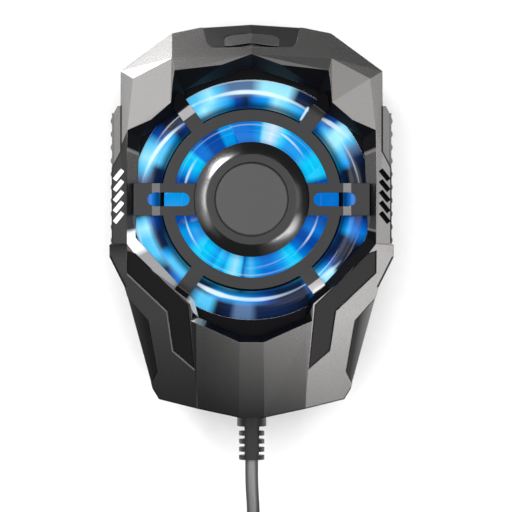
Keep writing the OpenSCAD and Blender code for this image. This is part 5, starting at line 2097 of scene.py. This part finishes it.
@dataclass
class Guard:
    """Guard over the fan: ring, arms and spokes that step up at their outer ends. Lengths in millimetres.

    Attributes:
        rise: Height of the step.
        arm: Half the width about an arm's middle line in which all belongs to it.
        level: How far up a face of a fold has to look to get the painted highlight.
        land: Radius at which the hub's chamfer starts.
        bore: Radius of the bezel's opening.
        gentle: Slope of the chamfer at its inner end, in degrees.
        steep: The same at its outer end.
        slope_steps: Flats across the chamfer.
        break_edge: Chamfer at the opening.
        steps: Steps of the bezel round the axis.
        crease: Angle in degrees above which the guard's edges stay sharp.
    """

    rise: float = 0.7
    arm: float = 5.0
    level: float = 0.9
    land: float = 10.4
    bore: float = 8.5
    gentle: float = 20.0
    steep: float = 33.0
    slope_steps: int = 14
    break_edge: float = 0.1
    steps: int = 96
    crease: float = 8.0

    # Folds; the last number is the share of each one's painted highlight
    FOLDS = (
        Fold(0, 21.2, 23.0, 0.25), Fold(180, 21.2, 23.0, 0.25), Fold(53, 23.9, 26.0, 0.0),
        Fold(127, 23.9, 26.0, 1.0), Fold(233, 23.9, 26.0, 0.0), Fold(307, 23.9, 26.0, 1.0),
    )

    def build(self, shop: Workshop) -> None:
        """Makes the guard and the hub's bezel.

        Args:
            shop: Where the pieces are finished.
        """
        work = shop.copied("fan_guard", whole=False)
        self._fold(work)
        mesh = as_mesh(work, "guard_frame")
        shop.piece("guard_frame", mesh, "gunmetal_guard", Body.HOUSING, ["fan_guard"], self.crease)
        low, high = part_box("hub_trim_ring")
        base, top, rim = low[2] / MM, high[2] / MM, high[0] / MM
        step = (rim - self.land) / self.slope_steps
        slope = [(self.land, top)]
        for k in range(self.slope_steps):
            fall = math.tan(math.radians(self.gentle + (self.steep - self.gentle) * k / self.slope_steps))
            slope.insert(0, (slope[0][0] + step, slope[0][1] - step * fall))
        opening = [(self.bore + self.break_edge, top), (self.bore, top - self.break_edge)]
        work = turned([(self.bore, base), (rim, base), *slope, *opening], self.steps)
        shop.piece("hub_bezel", as_mesh(work, "hub_bezel"), "bright_trim", Body.HOUSING, ["hub_trim_ring"])

    def _fold(self, work: bmesh.types.BMesh) -> None:
        """Raises the outer ends past a sloped fold, and marks the folds' painted highlight.

        Args:
            work: The guard's mesh, changed here.
        """
        centre = Vector((0, FAN_Y, 0))
        arms = [(fold.direction(), fold.start * MM, fold.end * MM, fold.shine) for fold in self.FOLDS]
        for direction, start, end, _ in arms:
            for reach in (start, end):
                bmesh.ops.bisect_plane(
                    work, geom=[*work.verts, *work.edges, *work.faces], dist=0.0001 * MM,
                    plane_co=centre + direction * reach, plane_no=direction,
                )
        # Share of each fold face's painted highlight
        layer = work.faces.layers.float.new("fold")
        for direction, start, end, shine in arms:
            for face in work.faces:
                place = face.calc_center_median() - centre
                along = place.dot(direction)
                aside = (place - direction * along).to_2d().length
                if start < along < end and face.normal.z > self.level and aside < self.arm * MM:
                    face[layer] = shine
        for vert in work.verts:
            place = vert.co - centre
            for direction, start, end, _ in arms:
                along = place.dot(direction)
                aside = (place - direction * along).to_2d().length
                share = max(0.0, min(1.0, (along - start) / (end - start)))
                if share > 0 and aside < self.arm * MM:
                    vert.co.z += self.rise * share * MM
                    if along > end + 0.1 * MM:
                        vert.co += direction * (0.5 * self.rise * MM)
                    break


@dataclass
class Lamp:
    """Glossy light ring over its chips. Lengths are in millimetres.

    Attributes:
        middle: Radius of its middle.
        half: Half its width at the base.
        base: Height of the base.
        arch: Radius of its arched section.
        sink: How far the arch's centre is below the base.
        wall: Thickness.
        steps: Steps round the axis.
        outer_steps: Flats across the arch's outer side.
        inner_steps: Flats across its inner side.
    """

    middle: float = 24.6
    half: float = 3.3
    base: float = 28.4
    arch: float = 3.4
    sink: float = 0.4
    wall: float = 1.1
    steps: int = 144
    outer_steps: int = 18
    inner_steps: int = 12

    def build(self, shop: Workshop) -> None:
        """Makes the ring.

        Args:
            shop: Where the pieces are finished.
        """
        reach = math.degrees(math.acos(self.half / self.arch))
        centre = (self.middle, self.base - self.sink)
        outer = arc(centre, self.arch, reach, 180 - reach, self.outer_steps)
        inner_radius = self.arch - self.wall
        low = math.degrees(math.asin(self.sink / inner_radius))
        inner = arc(centre, inner_radius, 180 - low, low, self.inner_steps)
        work = turned([*outer, *inner], self.steps)
        shop.piece("glow_ring", as_mesh(work, "glow_ring"), "light_guide", Body.HOUSING, ["light_ring"])


@dataclass
class Rotor:
    """Hub cup with swept, cambered blades and a thin band. Lengths are in millimetres.

    Attributes:
        blades: Number of blades.
        hub: Radius of the cup.
        root: How far a blade reaches into the cup.
        tip: Radius of the blades' tips.
        low: Height of the blades' lower edge.
        high: Height of their upper edge.
        chord: Angle that a blade spans at its root, in degrees.
        taper: Share of that which is lost at the tip.
        sweep: Angle by which the tip runs ahead.
        camber: Bulge of a blade, as a share of its height.
        thick: Thickness of a blade.
        grid: Facets of a blade across and along.
        steps: Steps of the cup and the band round the axis.
    """

    blades: int = 9
    hub: float = 10.6
    root: float = 0.3
    tip: float = 20.4
    low: float = 24.7
    high: float = 29.15
    chord: float = 45.0
    taper: float = 0.12
    sweep: float = 12.0
    camber: float = 0.16
    thick: float = 0.5
    grid: tuple[int, int] = (10, 12)
    steps: int = 96

    # Sections as radius and height
    CUP = (
        (0.75, 30.2), (9.6, 30.2), *arc((9.8, 29.4), 0.8, 90, 0, 6), (10.6, 24.7), (10.5, 24.6),
        (9.9, 24.6), (9.9, 29.4), (0.75, 29.4),
    )
    BAND = (
        (15.95, 27.3), (16.35, 27.3), (16.4, 27.4), (16.4, 29.1), (16.3, 29.2), (16.0, 29.2),
        (15.9, 29.1), (15.9, 27.4),
    )

    def build(self, shop: Workshop) -> None:
        """Makes the rotor.

        Args:
            shop: Where the pieces are finished.
        """
        work = turned(self.CUP, self.steps)
        for index in range(self.blades):
            self._join(work, self._blade(360 / self.blades * index))
        self._join(work, turned(self.BAND, self.steps))
        mesh = as_mesh(work, "swept_rotor")
        shop.piece("swept_rotor", mesh, "clear_blade", Body.ROTOR, ["fan_rotor"], weighted=False)

    def _blade(self, start: float) -> bmesh.types.BMesh:
        """One blade, from its root in the cup to its tip.

        Args:
            start: Direction of its middle at the root, in degrees.

        Returns:
            The blade.
        """
        work = bmesh.new()
        bmesh.ops.create_grid(work, x_segments=self.grid[0], y_segments=self.grid[1], size=0.5)
        for vert in work.verts:
            across, along = vert.co.x + 0.5, vert.co.y + 0.5
            radius = self.hub - self.root + (self.tip - self.hub + self.root) * along
            reach = self.chord * (1.0 - self.taper * along)
            angle = math.radians(start + (across - 0.5) * reach + self.sweep * along * along)
            rise = across + self.camber * math.sin(math.pi * across)
            height = self.low + self.thick / 2 + (self.high - self.low - self.thick) * min(1.0, rise)
            vert.co = Vector((
                radius * math.cos(angle) * MM, FAN_Y + radius * math.sin(angle) * MM, height * MM
            ))
        bmesh.ops.solidify(work, geom=list(work.faces), thickness=self.thick * MM)
        bmesh.ops.recalc_face_normals(work, faces=work.faces)
        return work

    @staticmethod
    def _join(work: bmesh.types.BMesh, other: bmesh.types.BMesh) -> None:
        """Adds one mesh to another and frees it.

        Args:
            work: The mesh that grows.
            other: The one that is added.
        """
        mesh = as_mesh(other, "part")
        work.from_mesh(mesh)
        bpy.data.meshes.remove(mesh)


@dataclass
class Springs:
    """Return springs of the sliding arms. Lengths are in millimetres.

    Attributes:
        y: Place of their axes along.
        z: Height of their axes.
        start: Where they start, from the middle line.
        end: Where they end.
        coil: Radius of the coil's middle line.
        thick: Radius of the wire.
        turns: Number of turns.
        steps: Points in a turn.
        flats: How finely the wire's roundness is cut.
    """

    y: float = -7.1
    z: float = 14.9
    start: float = 2.4
    end: float = 12.0
    coil: float = 0.88
    thick: float = 0.22
    turns: int = 9
    steps: int = 20
    flats: int = 3

    def build(self, shop: Workshop) -> None:
        """Makes both springs."""
        for side, body, hand in (("right", Body.RIGHT, 1), ("left", Body.LEFT, -1)):
            self._spring(shop, side, body, hand)

    def _spring(self, shop: Workshop, side: str, body: Body, hand: int) -> None:
        """Return spring of one arm.

        Args:
            shop: Where it gets its finish.
            side: Name of its side.
            body: Body of the arm; not used.
            hand: 1 for the right side, -1 for the left one.
        """
        points = [(hand * x * MM, y * MM, z * MM) for x, y, z in self._turns()]
        mesh = swept(f"{side}_coil", points, self.thick * MM, self.flats)
        mesh.materials.clear()
        mesh.materials.append(shop.finish("steel"))
        spring = linked(f"{side}_coil", mesh)
        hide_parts(f"{side}_spring")
        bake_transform(spring)
        LOG.info("piece %s: %d faces", spring.name, len(mesh.polygons))

    def _turns(self) -> list[Point]:
        """Middle line of the right spring's wire.

        Returns:
            Its points, in millimetres.
        """
        count = self.turns * self.steps
        lead = 2 * self.thick
        points = [(self.start, self.y + self.coil, self.z - self.thick)]
        for index in range(count + 1):
            angle = 2 * math.pi * index / self.steps
            x = self.start + lead + (self.end - self.start - 2 * lead) * index / count
            points.append((x, self.y + self.coil * math.cos(angle), self.z + self.coil * math.sin(angle)))
        points.append((self.end, self.y + self.coil, self.z + self.thick))
        return points


def main() -> None:
    """Builds the scene."""
    logging.basicConfig(level=logging.INFO, format="%(message)s")
    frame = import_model()
    shop = Workshop(frame)
    Studio().build()
    shop.dress_nodes()
    for part in (Cable(), Guard(), Lamp(), Rotor(), Springs()):
        part.build(shop)


if __name__ == "__main__":
    main()
